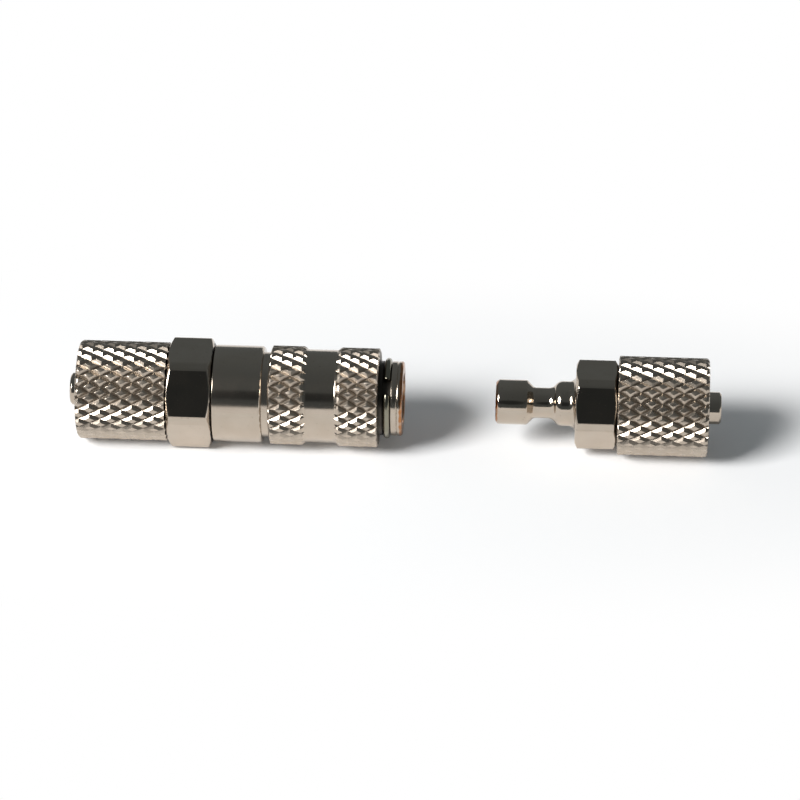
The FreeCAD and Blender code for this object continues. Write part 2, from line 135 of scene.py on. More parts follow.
# Ends of the pieces along the common axis, and the axis's height, from the frame.
BODY_REAR_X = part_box("socket_body")[0].x
MOUTH_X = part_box("socket_body")[1].x
TAIL_STEM_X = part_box("tail_fitting")[0].x
SPIGOT_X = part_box("tail_fitting")[1].x
SLEEVE_REAR_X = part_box("lock_sleeve")[0].x
SLEEVE_FRONT_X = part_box("lock_sleeve")[1].x
RING_LOW, RING_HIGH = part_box("snap_ring")
NOSE_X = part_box("plug_body")[0].x
PLUG_STEM_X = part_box("plug_body")[1].x
SOCKET_NUT_LOW, SOCKET_NUT_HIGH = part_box("socket_tube_nut")
PLUG_NUT_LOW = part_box("plug_tube_nut")[0]
AXIS_Z = (SOCKET_NUT_LOW.z + SOCKET_NUT_HIGH.z) / 2
NUT_RADIUS = (SOCKET_NUT_HIGH.z - SOCKET_NUT_LOW.z) / 2
NUT_LENGTH = SOCKET_NUT_HIGH.x - SOCKET_NUT_LOW.x
AXIS_POINT = Vector((0, 0, AXIS_Z)) * BENCH

# Features to the metre of the patterns on plate, bare metal and rubber.
PLATE_CLOUDS = 420.0
PLATE_PATCHES = 1300.0
PLATE_GRAIN = 5200.0
PIT_CELLS = 1250.0
PLATE_RINGS = 9000.0
METAL_CLOUDS = 900.0
METAL_RINGS = 7000.0
RUBBER_BLOOM = 1500.0
# Middle and softness of the steps that patterns make in tint, roughness, wear, bloom and the size of a pit.
TINT_STEP = (0.5, 0.5)
HAZE_STEP = (0.45, 0.4)
WEAR_STEP = (0.45, 0.25)
BLOOM_STEP = (0.55, 0.4)
PIT_STEP = (0.08, 0.06)
# Depth of a pit against the grain, and how much finer tool marks are on an end face than round a piece.
PIT_DEPTH = 2
FACE_MARKS = 1.3
# Tones of the plate's clouds and pits, of darker bare metal, polished balls and bloom on rubber.
PLATE_TONE = (0.88, 0.85, 0.82)
PIT_TONE = (0.40, 0.37, 0.33)
METAL_TONE = (0.72, 0.72, 0.72)
BALL_TONE = (1.4, 1.4, 1.4)
BLOOM_TONE = (2.2, 2.2, 2.2)
# Shares of clouds, pits, and dirt with painted shade in the colour, the least brass on a worn rim, the most
# dirt with painted shade in a groove.
CLOUD_SHARE = 0.55
PIT_SHARE = 0.45
DIRT_AND_SHADE_SHARE = 0.92
WORN_LEAST = 0.35
GROOVE_MOST = 0.95
# Share of a groove's dirt and painted shade that is even, and the share that follows the clouds.
GROOVE_EVEN = 0.6
GROOVE_CLOUDED = 0.8
# Roughness of clean rubber and what its bloom adds.
RUBBER_MATT = 0.5
BLOOM_HAZE = 0.2
# Roughness that clouds, grain, brass, and dirt with painted shade add.
CLOUD_HAZE = 0.04
GRAIN_HAZE = 0.03
WORN_HAZE = 0.06
DIRT_AND_SHADE_HAZE = 0.2
GROOVE_HAZE = 0.25
METAL_HAZE = 0.12
# Depth and strength of the plate's grain and of the rubber's skin.
GRAIN_DEPTH = 0.004 * MM
GRAIN_STRENGTH = 0.3
SKIN_DEPTH = 0.01 * MM
SKIN_STRENGTH = 0.6

# Height of the dirt and painted shade in the knurl's grooves, and the softness of its edge and of a plain
# stretch's ends.
DIRT_AND_SHADE_RISE = 0.03 * MM
GROOVE_SOFTNESS = 0.09 * MM
PLAIN_SOFTNESS = 0.1 * MM
# How far the edges of worn stretches and of stretches of painted shade wander, and how soft they are.
EDGE_WANDER = 0.3 * MM
EDGE_SOFTNESS = 0.06 * MM
# Painted shade beside a nut's seam, on the boss and on the hexagon, and on both sides of the joint behind the
# barrel.
SEAM_BOSS_SHADE = 0.2 * MM
SEAM_HEX_SHADE = 0.05 * MM
JOINT_REAR_SHADE = 0.07 * MM
JOINT_FRONT_SHADE = 0.06 * MM
# Painted shade reaches this far under the sleeve, and leaves the guide's start and the lip's edge unshaded.
COVERED_SHADE = 0.5 * MM
GUIDE_UNSHADED = 0.9 * MM
LIP_UNSHADED = 0.03 * MM
# Worn rims, and how far past a piece's end a stretch goes.
MOUTH_WEAR = 0.3 * MM
NOSE_WEAR = 0.25 * MM
BEYOND = MM

# The floor's plain white starts on an ellipse, 2.5 times as long along the coupler as across it.
WHITE_ELLIPSE = 1 / 2.5 ** 2
# The room: its tint, how softly it changes from front to back, and the direction and edge of its dark place.
ROOM_TINT = (0.88, 1, 1.06, 1)
ROOM_FADE = 1.6
DARK_WAY = (-0.05, -0.88, 0.47)
DARK_EDGE = 0.982
DARK_SOFTNESS = 0.016
NEAR_CLIP = 10 * MM


def length(name, millimetres, description):
    """A length that a user may change, kept in metres."""
    return FloatProperty(name=name, description=description, default=millimetres * MM, min=0.0,
                         subtype="DISTANCE", precision=6)


def angle(name, degrees, description):
    """An angle that a user may change."""
    return FloatProperty(name=name, description=description, default=math.radians(degrees), subtype="ANGLE")


def colour(name, linear, description):
    """A linear colour that a user may change."""
    return FloatVectorProperty(name=name, description=description, default=linear, size=3, min=0.0, max=1.0,
                               subtype="COLOR")


def share(name, value, description):
    """A share from 0 to 1 that a user may change."""
    return FloatProperty(name=name, description=description, default=value, min=0.0, max=1.0,
                         subtype="FACTOR")


def count(name, value, least, description):
    """A whole number that a user may change."""
    return IntProperty(name=name, description=description, default=value, min=least)


class CouplerKnurl(PropertyGroup):
    """Diamond knurl that the tube nuts and the sleeve share."""

    starts: count("Starts", 26, 3, "Grooves of each hand round a piece")
    helix: angle("Helix", 30, "Angle between a groove and the axis")
    depth: length("Depth", 0.3, "Height of the diamonds above their grooves")
    top_share: share("Top share", 0.44, "Share of a diamond's width that its flat top takes")
    top_round: length("Top round", 0.035, "Round of the flat tops' edges")


class CouplerNut(PropertyGroup):
    """Knurled tube nut, the same on both halves."""

    face_chamfer: length("Face chamfer", 0.12, "Chamfer at the end that meets the hexagon")
    rim_round: length("Rim round", 0.42, "Round at the tube's end")
    seam: length("Seam", 0.05, "Gap between the nut and the hexagon")
    thread_radius: length("Thread radius", 4.55, "Radius of the threaded part of the hole")
    thread_length: length("Thread length", 5.7, "Depth of the threaded part of the hole")
    cone_length: length("Cone length", 2.2, "Length of the cone that grips the tube")
    hole_radius: length("Hole radius", 3.1, "Radius of the hole for the tube")
    mouth_chamfer: length("Mouth chamfer", 0.25, "Chamfer round the hole for the tube")


class CouplerTube(PropertyGroup):
    """Tube connection, the same on both halves."""

    bore_radius: length("Bore radius", 1.35, "Radius of the flow path")
    stem_radius: length("Stem radius", 1.8, "Radius of the stem that the tube goes over")
    stem_chamfer: length("Stem chamfer", 0.2, "Chamfer at the stem's tip")
    barb_radius: length("Barb radius", 2.15, "Radius of the barb on the stem")
    barb_step: length("Barb step", 1.0, "Distance from the boss to the barb")
    barb_taper: length("Barb taper", 1.7, "Length of the barb's taper")
    boss_radius: length("Boss radius", 4.46, "Radius of the threaded boss")
    boss_length: length("Boss length", 5.2, "Length of the threaded boss")


class CouplerSocket(PropertyGroup):
    """Socket: tail fitting with its hexagon, and body with its barrel, guide and lip."""

    hex_flats: length("Hexagon", 11.0, "Width across the wrench flats")
    hex_corners: length("Hexagon corners", 12.2, "Width across the turned corners")
    spigot_radius: length("Spigot radius", 4.23, "Radius of the spigot that screws into the body")
    pocket_radius: length("Pocket radius", 3.0, "Radius of the valve spring's pocket")
    pocket_depth: length("Pocket depth", 1.5, "Depth of the valve spring's seat behind the barrel")
    barrel_radius: length("Barrel radius", 5.4, "Radius of the plain barrel")
    barrel_length: length("Barrel length", 5.6, "Length of the plain barrel")
    barrel_chamfer: length("Barrel chamfer", 0.2, "Chamfer at both ends of the barrel")
    guide_radius: length("Guide radius", 4.75, "Radius of the step that the sleeve runs on")
    guide_length: length("Guide length", 2.2, "Length of the step that the sleeve runs on")
    front_radius: length("Front radius", 4.15, "Radius of the body under the sleeve")
    lip_length: length("Lip length", 1.25, "Length of the lip at the mouth")
    lip_chamfer: length("Lip chamfer", 0.15, "Chamfer at the lip's outer edge")
    lip_line: length("Lip line", 0.18, "Width of the fine groove round the lip")
    ring_groove: length("Ring groove", 0.95, "Width of the snap ring's groove")
    ring_floor: length("Ring floor", 3.75, "Radius of the snap ring's groove")
    bore_radius: length("Bore radius", 2.55, "Radius of the plug's guide")
    bore_chamfer: length("Bore chamfer", 0.35, "Chamfer round the mouth")
    guide_depth: length("Guide depth", 2.85, "Depth at which the wider valve bore starts")
    valve_radius: length("Valve bore radius", 2.75, "Radius of the valve bore")
    seal_depth: length("Seal depth", 7.3, "Depth of the plug's seal")
    seal_width: length("Seal groove width", 1.06, "Width of the seal's groove")
    seal_floor: length("Seal groove radius", 3.56, "Radius of the seal's groove")
    seat_depth: length("Seat depth", 10.0, "Depth at which the valve seat starts")
    chamber_radius: length("Chamber radius", 3.4, "Radius of the valve chamber")
    ball_hole: length("Ball hole", 2.26, "Diameter of the holes for the lock balls")


class CouplerValve(PropertyGroup):
    """Valve poppet and springs inside the socket."""

    head_radius: length("Head radius", 2.5, "Radius of the head that the plug pushes on")
    edge_chamfer: length("Edge chamfer", 0.2, "Chamfer at both ends")
    bore_depth: length("Bore depth", 4.2, "Depth of the hole in the head")
    port: length("Port", 1.5, "Diameter of the cross ports")
    port_setback: length("Port setback", 0.95, "Distance of the ports from the end of the hole")
    seal_floor: length("Seal floor", 2.3, "Radius of the seal's groove")
    seal_room: length("Seal room", 0.03, "Gap between the seal and each side of its groove")
    flange_radius: length("Flange radius", 3.15, "Radius of the flange that the spring pushes on")
    flange_length: length("Flange length", 0.8, "Length of the flange")
    stem_radius: length("Stem radius", 1.3, "Radius of the stem inside the spring")
    spring_wire: length("Spring wire", 0.5, "Diameter of the wire of both springs")
    valve_turns: count("Valve spring turns", 7, 1, "Turns of the valve's spring")
    sleeve_turns: count("Sleeve spring turns", 6, 1, "Turns of the sleeve's spring")
    travel: length("Travel", 3.0182, "Way that the plug pushes the poppet")


class CouplerSleeve(PropertyGroup):
    """Sliding sleeve with two knurled bands."""

    front_band: length("Front band", 4.75, "Length of the knurled band at the mouth's side")
    waist: length("Waist", 3.3, "Length of the plain waist")
    waist_radius: length("Waist radius", 5.2, "Radius of the plain waist")
    band_taper: length("Band taper", 0.45, "Length of the taper from the waist to a band")
    end_chamfer: length("End chamfer", 0.14, "Chamfer at the sleeve's ends")
    land_radius: length("Land radius", 4.2, "Radius of the lands that run on the body")
    relief_radius: length("Relief radius", 4.85, "Radius of the room for the balls")
    bore_radius: length("Bore radius", 4.8, "Radius of the spring's room")
    land: length("Front land", 0.34, "Length of the land at the front")
    relief: length("Relief", 1.5, "Length of the room for the balls")
    collar: length("Collar", 1.5, "Length of the collar between the balls and the spring")


class CouplerPlug(PropertyGroup):
    """Plug: nose, locking groove, collar and hexagon."""

    nose_radius: length("Nose radius", 2.5, "Radius of the nose")
    nose_length: length("Nose length", 3.45, "Length of the nose")
    nose_chamfer: length("Nose chamfer", 0.3, "Chamfer at the nose's tip")
    groove_radius: length("Groove radius", 1.7, "Radius of the locking groove's floor")
    groove_floor: length("Groove floor", 1.58, "Length of the locking groove's floor")
    groove_rise: length("Groove rise", 1.55, "Length of the curved rise from the groove to the collar")
    nose_side_round: length("Groove round", 0.2, "Run of the round between the groove's floor and the nose")
    hex_fillet: length("Hexagon fillet", 0.75, "Fillet from the collar to the hexagon's face")
    hex_flats: length("Hexagon", 9.0, "Width across the wrench flats")
    hex_corners: length("Hexagon corners", 9.89, "Width across the turned corners")
    hex_length: length("Hexagon length", 4.65, "Length of the hexagon")


class CouplerFinish(PropertyGroup):
    """Colours and gloss of the finishes."""

    nickel: colour("Nickel", (0.515, 0.445, 0.37), "Bright nickel plate")
    worn: colour("Worn edge", (0.42, 0.185, 0.075), "Brass that shows where the plate is worn")
    brass: colour("Brass", (0.70, 0.49, 0.20), "Bare turned brass")
    steel: colour("Steel", (0.29, 0.27, 0.235), "Spring wire and balls")
    ring: colour("Ring", (0.31, 0.29, 0.225), "Wire of the snap ring")
    # Grime is dirt together with painted shade: it darkens the knurl's grooves and paints shade into seams and
    # gaps.
    grime_and_shade: colour("Grime", (0.024, 0.022, 0.019), "Oily dirt in grooves and seams")
    rubber: colour("Rubber", (0.022, 0.022, 0.024), "Black seal rubber")
    gloss: share("Roughness", 0.07, "Roughness of clean nickel plate")
    barrel_haze: share("Barrel haze", 0.05, "Roughness added on the socket's body")
    sleeve_haze: share("Sleeve haze", 0.03, "Roughness added on the sleeve")
    knurl_haze: share("Knurl haze", 0.17, "Roughness added where a knurl was rolled")
    # This share darkens the knurl's grooves with dirt and painted shade.
    groove_dirt_and_shade: share("Groove dirt", 0.55, "Share of dirt in a knurl's grooves")


class CouplerStage(PropertyGroup):
    """Camera, lamp, room and floor."""

    azimuth: angle("Azimuth", 3.3, "Camera's turn round the coupler, from straight in front towards +X")
    elevation: angle("Elevation", 32, "Camera's height above the horizon")
    distance: length("Distance", 445.9, "Distance from the camera to its aim")
    aim_x: FloatProperty(name="Aim along", description="Aim's place along the axis", default=0.56 * MM,
                         subtype="DISTANCE", precision=6)
    aim_drop: length("Aim drop", 0.2, "Aim's drop below the axis")
    lens: FloatProperty(name="Lens", description="Focal length", default=180.0, unit="CAMERA")
    lamp_azimuth: angle("Lamp azimuth", -55, "Lamp's turn from straight in front, negative to the left")
    lamp_elevation: angle("Lamp elevation", 36, "Lamp's height above the horizon")
    lamp_distance: length("Lamp distance", 1200, "Distance from the coupler to the lamp")
    lamp_size: length("Lamp size", 500, "Side of the square lamp")
    lamp_power: FloatProperty(name="Lamp power", description="Power of the lamp in watts", default=21.5)
    floor_side: length("Floor side", 12000, "Side of the floor")
    floor: share("Floor", 0.94, "Reflectance of the floor")
    floor_glow: share("Floor glow", 0.07, "Light added where the floor is seen directly")
    white_at: length("White at", 27, "Distance across the floor at which it fades to plain white")
    white_fade: length("White fade", 22, "Width of the fade to plain white")
    room_back: share("Room behind", 0.14, "Brightness of the room behind and above")
    room_front: share("Room in front", 0.09, "Brightness of the room in front")
    room_dark: share("Dark place", 0.03, "Brightness of the dark place in front")


# Node trees


class Wire:
    """An output of a node tree. Sums and products of wires and numbers add Math nodes."""

    def __init__(self, sheet, socket):
        self.sheet = sheet
        self.socket = socket

    def combine(self, operation, *values):
        """Math node of wires and numbers."""
        return self.sheet.node("ShaderNodeMath", {"operation": operation}, dict(enumerate(values)))

    def math(self, operation, *others):
        """Math node that has this wire first."""
        return self.combine(operation, self, *others)

    def __add__(self, other):
        return self.math("ADD", other)

    def __sub__(self, other):
        return self.math("SUBTRACT", other)

    def __mul__(self, other):
        return self.math("MULTIPLY", other)

    def __radd__(self, other):
        return self.combine("ADD", other, self)

    def __rsub__(self, other):
        return self.combine("SUBTRACT", other, self)

    def __rmul__(self, other):
        return self.combine("MULTIPLY", other, self)

    def above(self, edge, softness):
        """0 below the edge and 1 above it, with a soft step of the given width."""
        low = edge - softness / 2
        return self.sheet.node("ShaderNodeMapRange", {"interpolation_type": "SMOOTHSTEP"},
                               {"Value": self, "From Min": low, "From Max": low + softness})


class Sheet:
    """One node tree under construction."""

    def __init__(self, tree):
        self.tree = tree
        tree.nodes.clear()

    def node(self, kind, settings=None, inputs=None, output=0):
        """Add a node, set it up, feed its sockets and return one of its outputs, or all if output is None."""
        node = self.tree.nodes.new(kind)
        for key, value in (settings or {}).items():
            setattr(node, key, value)
        for key, value in (inputs or {}).items():
            if isinstance(value, Wire):
                self.tree.links.new(value.socket, node.inputs[key])
            else:
                node.inputs[key].default_value = value
        if output is None:
            return [Wire(self, socket) for socket in node.outputs]
        return Wire(self, node.outputs[output])

    def blend(self, amount, first, second):
        """The first colour with this amount of the second mixed in."""
        return self.node("ShaderNodeMix", {"data_type": "RGBA"}, {0: amount, 6: first, 7: second}, 2)

    def noise(self, place, scale, detail, dimensions="3D"):
        """Noise with this many features to the metre."""
        inputs = {"Scale": scale, "Detail": detail}
        inputs["W" if dimensions == "1D" else "Vector"] = place
        return self.node("ShaderNodeTexNoise", {"noise_dimensions": dimensions}, inputs)

    def place(self):
        """Place on a piece, in the coordinates of its object."""
        return self.node("ShaderNodeTexCoord", output="Object")

    def axes(self, place):
        """The three numbers of a place or direction."""
        return self.node("ShaderNodeSeparateXYZ", inputs={0: place}, output=None)

    def bump(self, height, depth, strength=1.0, over=None):
        """Normals of bumps of this depth, which lie over other bumps where those are given."""
        inputs = {"Strength": strength, "Distance": depth, "Height": height}
        if over:
            inputs["Normal"] = over
        return self.node("ShaderNodeBump", inputs=inputs)

    def close(self, surface, kind="Material"):
        """Lead a shader to the output of the material or the world."""
        self.node(f"ShaderNodeOutput{kind}", inputs={"Surface": surface}, output=None)


def rgba(linear):
    """A colour with its alpha."""
    return (*linear, 1.0)


def shaded(linear, tone):
    """A colour times a tone."""
    return [value * shade for value, shade in zip(linear, tone)]


def new_material(name):
    """An empty node material and its sheet."""
    material = bpy.data.materials.new(name)
    material.use_nodes = True
    return material, Sheet(material.node_tree)


def nickel(name, finish, marks, haze=0.0, worn=(), painted_shade_stretches=(), groove_floor=None, plain=None):
    """Bright nickel plate. marks is the depth of the tool marks, and haze adds to the roughness. worn lists
    stretches along the axis where brass shows through; the list after it gives stretches of painted shade at
    seams and gaps. Dirt and painted shade also fill a knurl's grooves below the radius groove_floor, except in
    the plain stretch."""
    material, sheet = new_material(name)
    place = sheet.place()
    along, across, up = sheet.axes(place)
    height = up - AXIS_Z
    radius = (across * across + height * height).math("SQRT")
    cloud = sheet.noise(place, PLATE_CLOUDS, detail=4.0)
    patch = sheet.noise(place, PLATE_PATCHES, detail=3.0)
    fine = sheet.noise(place, PLATE_GRAIN, detail=3.0)
    pit_cell = sheet.node("ShaderNodeTexVoronoi", {"feature": "F1"}, {"Vector": place, "Scale": PIT_CELLS})
    pits = 1 - pit_cell.above(*PIT_STEP)
    rings = sheet.noise(along + FACE_MARKS * radius, PLATE_RINGS, detail=3.0, dimensions="1D")
    ragged = along + EDGE_WANDER * (patch - 0.5)

    def within(stretch):
        """1 inside a stretch along the axis and 0 outside it."""
        return ragged.above(stretch[0], EDGE_SOFTNESS) * (1 - ragged.above(stretch[1], EDGE_SOFTNESS))

    clouded = rgba(shaded(finish.nickel, PLATE_TONE))
    plate = sheet.blend(cloud.above(*TINT_STEP) * CLOUD_SHARE, rgba(finish.nickel), clouded)
    plate = sheet.blend(pits * PIT_SHARE, plate, rgba(shaded(finish.nickel, PIT_TONE)))
    roughness = finish.gloss + haze + CLOUD_HAZE * cloud.above(*HAZE_STEP) + GRAIN_HAZE * fine
    for stretch in worn:
        bare = within(stretch) * (WORN_LEAST + (1 - WORN_LEAST) * patch.above(*WEAR_STEP))
        plate = sheet.blend(bare, plate, rgba(finish.worn))
        roughness = roughness + WORN_HAZE * bare
    # Painted shade: each of these stretches darkens a seam or gap between parts.
    for stretch in painted_shade_stretches:
        dirt_and_shade = within(stretch) * DIRT_AND_SHADE_SHARE
        plate = sheet.blend(dirt_and_shade, plate, rgba(finish.grime_and_shade))
        roughness = roughness + DIRT_AND_SHADE_HAZE * dirt_and_shade
    # Dirt and painted shade: the knurl's grooves darken below groove_floor.
    if groove_floor:
        dirt_and_shade = (1 - radius.above(groove_floor, GROOVE_SOFTNESS)) * finish.groove_dirt_and_shade
        dirt_and_shade = dirt_and_shade * (GROOVE_EVEN + GROOVE_CLOUDED * cloud)
        rolled = finish.knurl_haze
        if plain:
            outside = (plain[0] - along).math("MAXIMUM", along - plain[1]).above(0.0, PLAIN_SOFTNESS)
            dirt_and_shade = dirt_and_shade * outside
            rolled = rolled * outside
        plate = sheet.blend(dirt_and_shade.math("MINIMUM", GROOVE_MOST), plate, rgba(finish.grime_and_shade))
        roughness = roughness + GROOVE_HAZE * dirt_and_shade + rolled

    grain = sheet.bump(fine - PIT_DEPTH * pits, GRAIN_DEPTH, GRAIN_STRENGTH, over=sheet.bump(rings, marks))
    sheet.close(sheet.node("ShaderNodeBsdfPrincipled", inputs={
        "Base Color": plate, "Metallic": 1.0, "Roughness": roughness, "Normal": grain}))
    return material


def bare_metal(name, tint, roughness, marks):
    """Uncoated metal with drawing or turning marks round the axis."""
    material, sheet = new_material(name)
    place = sheet.place()
    along = sheet.axes(place)[0]
    cloud = sheet.noise(place, METAL_CLOUDS, detail=4.0)
    rings = sheet.noise(along, METAL_RINGS, detail=2.0, dimensions="1D")
    shade = sheet.blend(cloud, rgba(tint), rgba(shaded(tint, METAL_TONE)))
    sheet.close(sheet.node("ShaderNodeBsdfPrincipled", inputs={
        "Base Color": shade, "Metallic": 1.0, "Roughness": roughness + METAL_HAZE * cloud,
        "Normal": sheet.bump(rings, marks)}))
    return material


def seal_rubber(finish):
    """Matt black rubber with a faint bloom."""
    material, sheet = new_material("seal_rubber")
    bloom = sheet.noise(sheet.place(), RUBBER_BLOOM, detail=5.0)
    bloomed = rgba(shaded(finish.rubber, BLOOM_TONE))
    shade = sheet.blend(bloom.above(*BLOOM_STEP), rgba(finish.rubber), bloomed)
    sheet.close(sheet.node("ShaderNodeBsdfPrincipled", inputs={
        "Base Color": shade, "Roughness": RUBBER_MATT + BLOOM_HAZE * bloom,
        "Normal": sheet.bump(bloom, SKIN_DEPTH, SKIN_STRENGTH)}))
    return material


# Modelling


def pick(piece, kind, test):
    """Select the vertices, edges or faces of the piece in edit mode that pass the test."""
    bpy.ops.mesh.select_mode(type=kind)
    bpy.ops.mesh.select_all(action="DESELECT")
    mesh = bmesh.from_edit_mesh(piece.data)
    for element in {"VERT": mesh.verts, "EDGE": mesh.edges, "FACE": mesh.faces}[kind]:
        if test(element):
            element.select_set(True)
    mesh.select_flush_mode()
    bmesh.update_edit_mesh(piece.data)


def radius_of(place):
    """Distance of a place at the bench from the common axis."""
    return math.hypot(place.y, place.z - AXIS_POINT.z)


def edit_new(name):
    """Name the primitive that was just added, put its place into its mesh and open it for editing."""
    piece = bpy.context.object
    piece.name = name
    piece.data.name = name
    bpy.ops.object.transform_apply(location=True, rotation=True, scale=True)
    bpy.ops.object.mode_set(mode="EDIT")
    bpy.ops.mesh.select_mode(type="VERT")
    bpy.ops.mesh.select_all(action="SELECT")
    return piece


def take_up(piece):
    """Make the piece the only one selected, in object mode."""
    bpy.ops.object.mode_set(mode="OBJECT")
    bpy.ops.object.select_all(action="DESELECT")
    piece.select_set(True)
    bpy.context.view_layer.objects.active = piece


def merge_seams():
    """Merge the corners that meet on the piece in edit mode."""
    bpy.ops.mesh.select_all(action="SELECT")
    bpy.ops.mesh.remove_doubles(threshold=MERGE)


def face_outwards():
    """Turn the faces of the piece in edit mode outwards."""
    bpy.ops.mesh.select_all(action="SELECT")
    bpy.ops.mesh.normals_make_consistent(inside=False)


def cap_ends(piece):
    """Close the open ends of the piece in edit mode."""
    pick(piece, "EDGE", lambda edge: edge.is_boundary)
    bpy.ops.mesh.fill_holes(sides=0)


def slice_off(place, outward):
    """Cut off what lies beyond a plane, and close the cut."""
    bpy.ops.mesh.select_all(action="SELECT")
    bpy.ops.mesh.bisect(plane_co=place, plane_no=outward, use_fill=True, clear_outer=True,
                        threshold=CUT_SLACK)


def shape_by(piece, operation, tool):
    """Cut or trim the active piece by a tool, and take the tool away."""
    cut = piece.modifiers.new("cut", "BOOLEAN")
    cut.operation = operation
    cut.solver = "EXACT"
    cut.object = tool
    bpy.ops.object.modifier_apply(modifier=cut.name)
    bpy.data.objects.remove(tool)


def close_up(piece, smooth_deg=SMOOTH_DEG):
    """Merge seams, turn the faces outwards, bring the piece to its real size and smooth its shading."""
    merge_seams()
    face_outwards()
    bpy.ops.mesh.select_all(action="DESELECT")
    bpy.ops.object.mode_set(mode="OBJECT")
    piece.scale = (1 / BENCH,) * 3
    bpy.ops.object.transform_apply(location=False, rotation=False, scale=True)
    bpy.ops.object.shade_smooth_by_angle(angle=math.radians(smooth_deg))
    weights = piece.modifiers.new("even_normals", "WEIGHTED_NORMAL")
    weights.keep_sharp = True
    weights.weight = 100
    bpy.ops.object.modifier_apply(modifier=weights.name)


def copied(piece, name, shift):
    """Copy of a finished piece with a mesh of its own, which is moved by this much."""
    twin = piece.copy()
    twin.data = piece.data.copy()
    twin.name = name
    twin.data.name = name
    twin.data.transform(Matrix.Translation(shift))
    bpy.context.collection.objects.link(twin)
    return twin


def keep_flat(piece, test):
    """Give the plane faces that pass the test a sharp border, so that they shade as planes."""
    pick(piece, "FACE", test)
    bpy.ops.mesh.region_to_loop()
    bpy.ops.mesh.mark_sharp()


def is_flank(face):
    """Whether a face is the sloping side of a knurl's diamond."""
    centre = face.calc_center_median()
    outward = Vector((0, centre.y, centre.z - AXIS_POINT.z)).normalized()
    is_steep = FLANK_OUTWARD[0] < face.normal.dot(outward) < FLANK_OUTWARD[1]
    return is_steep and FLANK_ALONG[0] < abs(face.normal.x) < FLANK_ALONG[1]


def seat(piece, body, node, material):
    """Put a finished piece with its material on its body, in place of its frame node."""
    piece.data.materials.append(material)
    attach(piece, body)
    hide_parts(node)


def turned(name, corners, edge_round):
    """Body of revolution from a closed outline of (x, radius) corners; a third number rounds that corner
    by itself, and all others get the edge round."""
    places = [Vector((corner[0], 0, AXIS_Z + corner[1])) * BENCH for corner in corners]
    rounds = [(corner[2] if len(corner) > 2 else edge_round) * BENCH for corner in corners]
    bpy.ops.object.select_all(action="DESELECT")
    bpy.ops.mesh.primitive_plane_add(size=1.0, location=places[0])
    piece = edit_new(name)
    bpy.ops.mesh.merge(type="CENTER")
    for last, place in zip(places, places[1:]):
        bpy.ops.mesh.extrude_vertices_move(TRANSFORM_OT_translate={"value": place - last})
    ends = (places[0], places[-1])
    pick(piece, "VERT", lambda vertex: min((vertex.co - place).length for place in ends) < MERGE)
    bpy.ops.mesh.edge_face_add()
    for size in sorted(set(rounds)):
        same = [place for place, rounding in zip(places, rounds) if rounding == size]
        pick(piece, "VERT", lambda vertex: min((vertex.co - place).length for place in same) < MERGE)
        steps = SMALL_ROUND_STEPS if size < LARGE_ROUND else LARGE_ROUND_STEPS
        bpy.ops.mesh.bevel(offset=size, segments=steps, affect="VERTICES")
    bpy.ops.mesh.select_all(action="SELECT")
    bpy.ops.mesh.spin(steps=TURNING_STEPS, angle=math.tau, center=AXIS_POINT, axis=(1, 0, 0))
    merge_seams()
    return piece


def mill_flats(piece, flats, edge_round):
    """Mill six wrench flats on a turned piece, two of them level, and break their edges."""
    reach = flats / 2 * BENCH
    turns = [math.radians(FLAT_TURN_DEG * (side + 0.5)) for side in range(FLAT_COUNT)]
    normals = [Vector((0, math.cos(turn), math.sin(turn))) for turn in turns]

    def is_flat(face):
        offset = face.calc_center_median() - AXIS_POINT
        return any(face.normal.dot(normal) > FLAT_TRUE and abs(offset.dot(normal) - reach) < MERGE
                   for normal in normals)

    def is_ridge(face):
        outside = radius_of(face.calc_center_median()) > RIDGE_FROM * flats * BENCH
        return outside and abs(face.normal.x) < RIDGE_TRUE

    for normal in normals:
        slice_off(AXIS_POINT + normal * reach, normal)
    face_outwards()
    pick(piece, "EDGE", lambda edge: len({is_flat(face) for face in edge.link_faces}) == 2)
    bpy.ops.mesh.bevel(offset=edge_round * BENCH, segments=2, affect="EDGES")
    pick(piece, "FACE", is_flat)
    bpy.ops.mesh.remove_doubles(threshold=FLAT_MERGE)
    keep_flat(piece, is_flat)
    keep_flat(piece, is_ridge)


def knurl_rows(knurl, start_x, end_x, crest):
    """Places of the knurl's rows, half a diamond apart, between two ends."""
    ideal = math.pi * crest / knurl.starts / math.tan(knurl.helix)
    steps = max(1, round(abs(end_x - start_x) / ideal))
    return [start_x + (end_x - start_x) * row / steps for row in range(steps + 1)]


def run_out(rows):
    """The rows with one more at each end, so that the knurl runs out past the band."""
    step = rows[1] - rows[0]
    return [rows[0] - step, *rows, rows[-1] + step]


def drum(name, rings, columns):
    """Closed drum through rings of (x, radius), each extruded from the one before."""
    bpy.ops.object.select_all(action="DESELECT")
    first_x, first_radius = rings[0]
    bpy.ops.mesh.primitive_circle_add(vertices=columns, radius=first_radius * BENCH, fill_type="NGON",
                                      rotation=(0, math.pi / 2, 0),
                                      location=(first_x * BENCH, 0, AXIS_POINT.z))
    piece = edit_new(name)
    for (x, radius), (next_x, next_radius) in zip(rings, rings[1:]):
        bpy.ops.mesh.extrude_region_move(TRANSFORM_OT_translate={"value": ((next_x - x) * BENCH, 0, 0)})
        growth = next_radius / radius
        bpy.ops.transform.resize(value=(1, growth, growth), center_override=AXIS_POINT)
    return piece


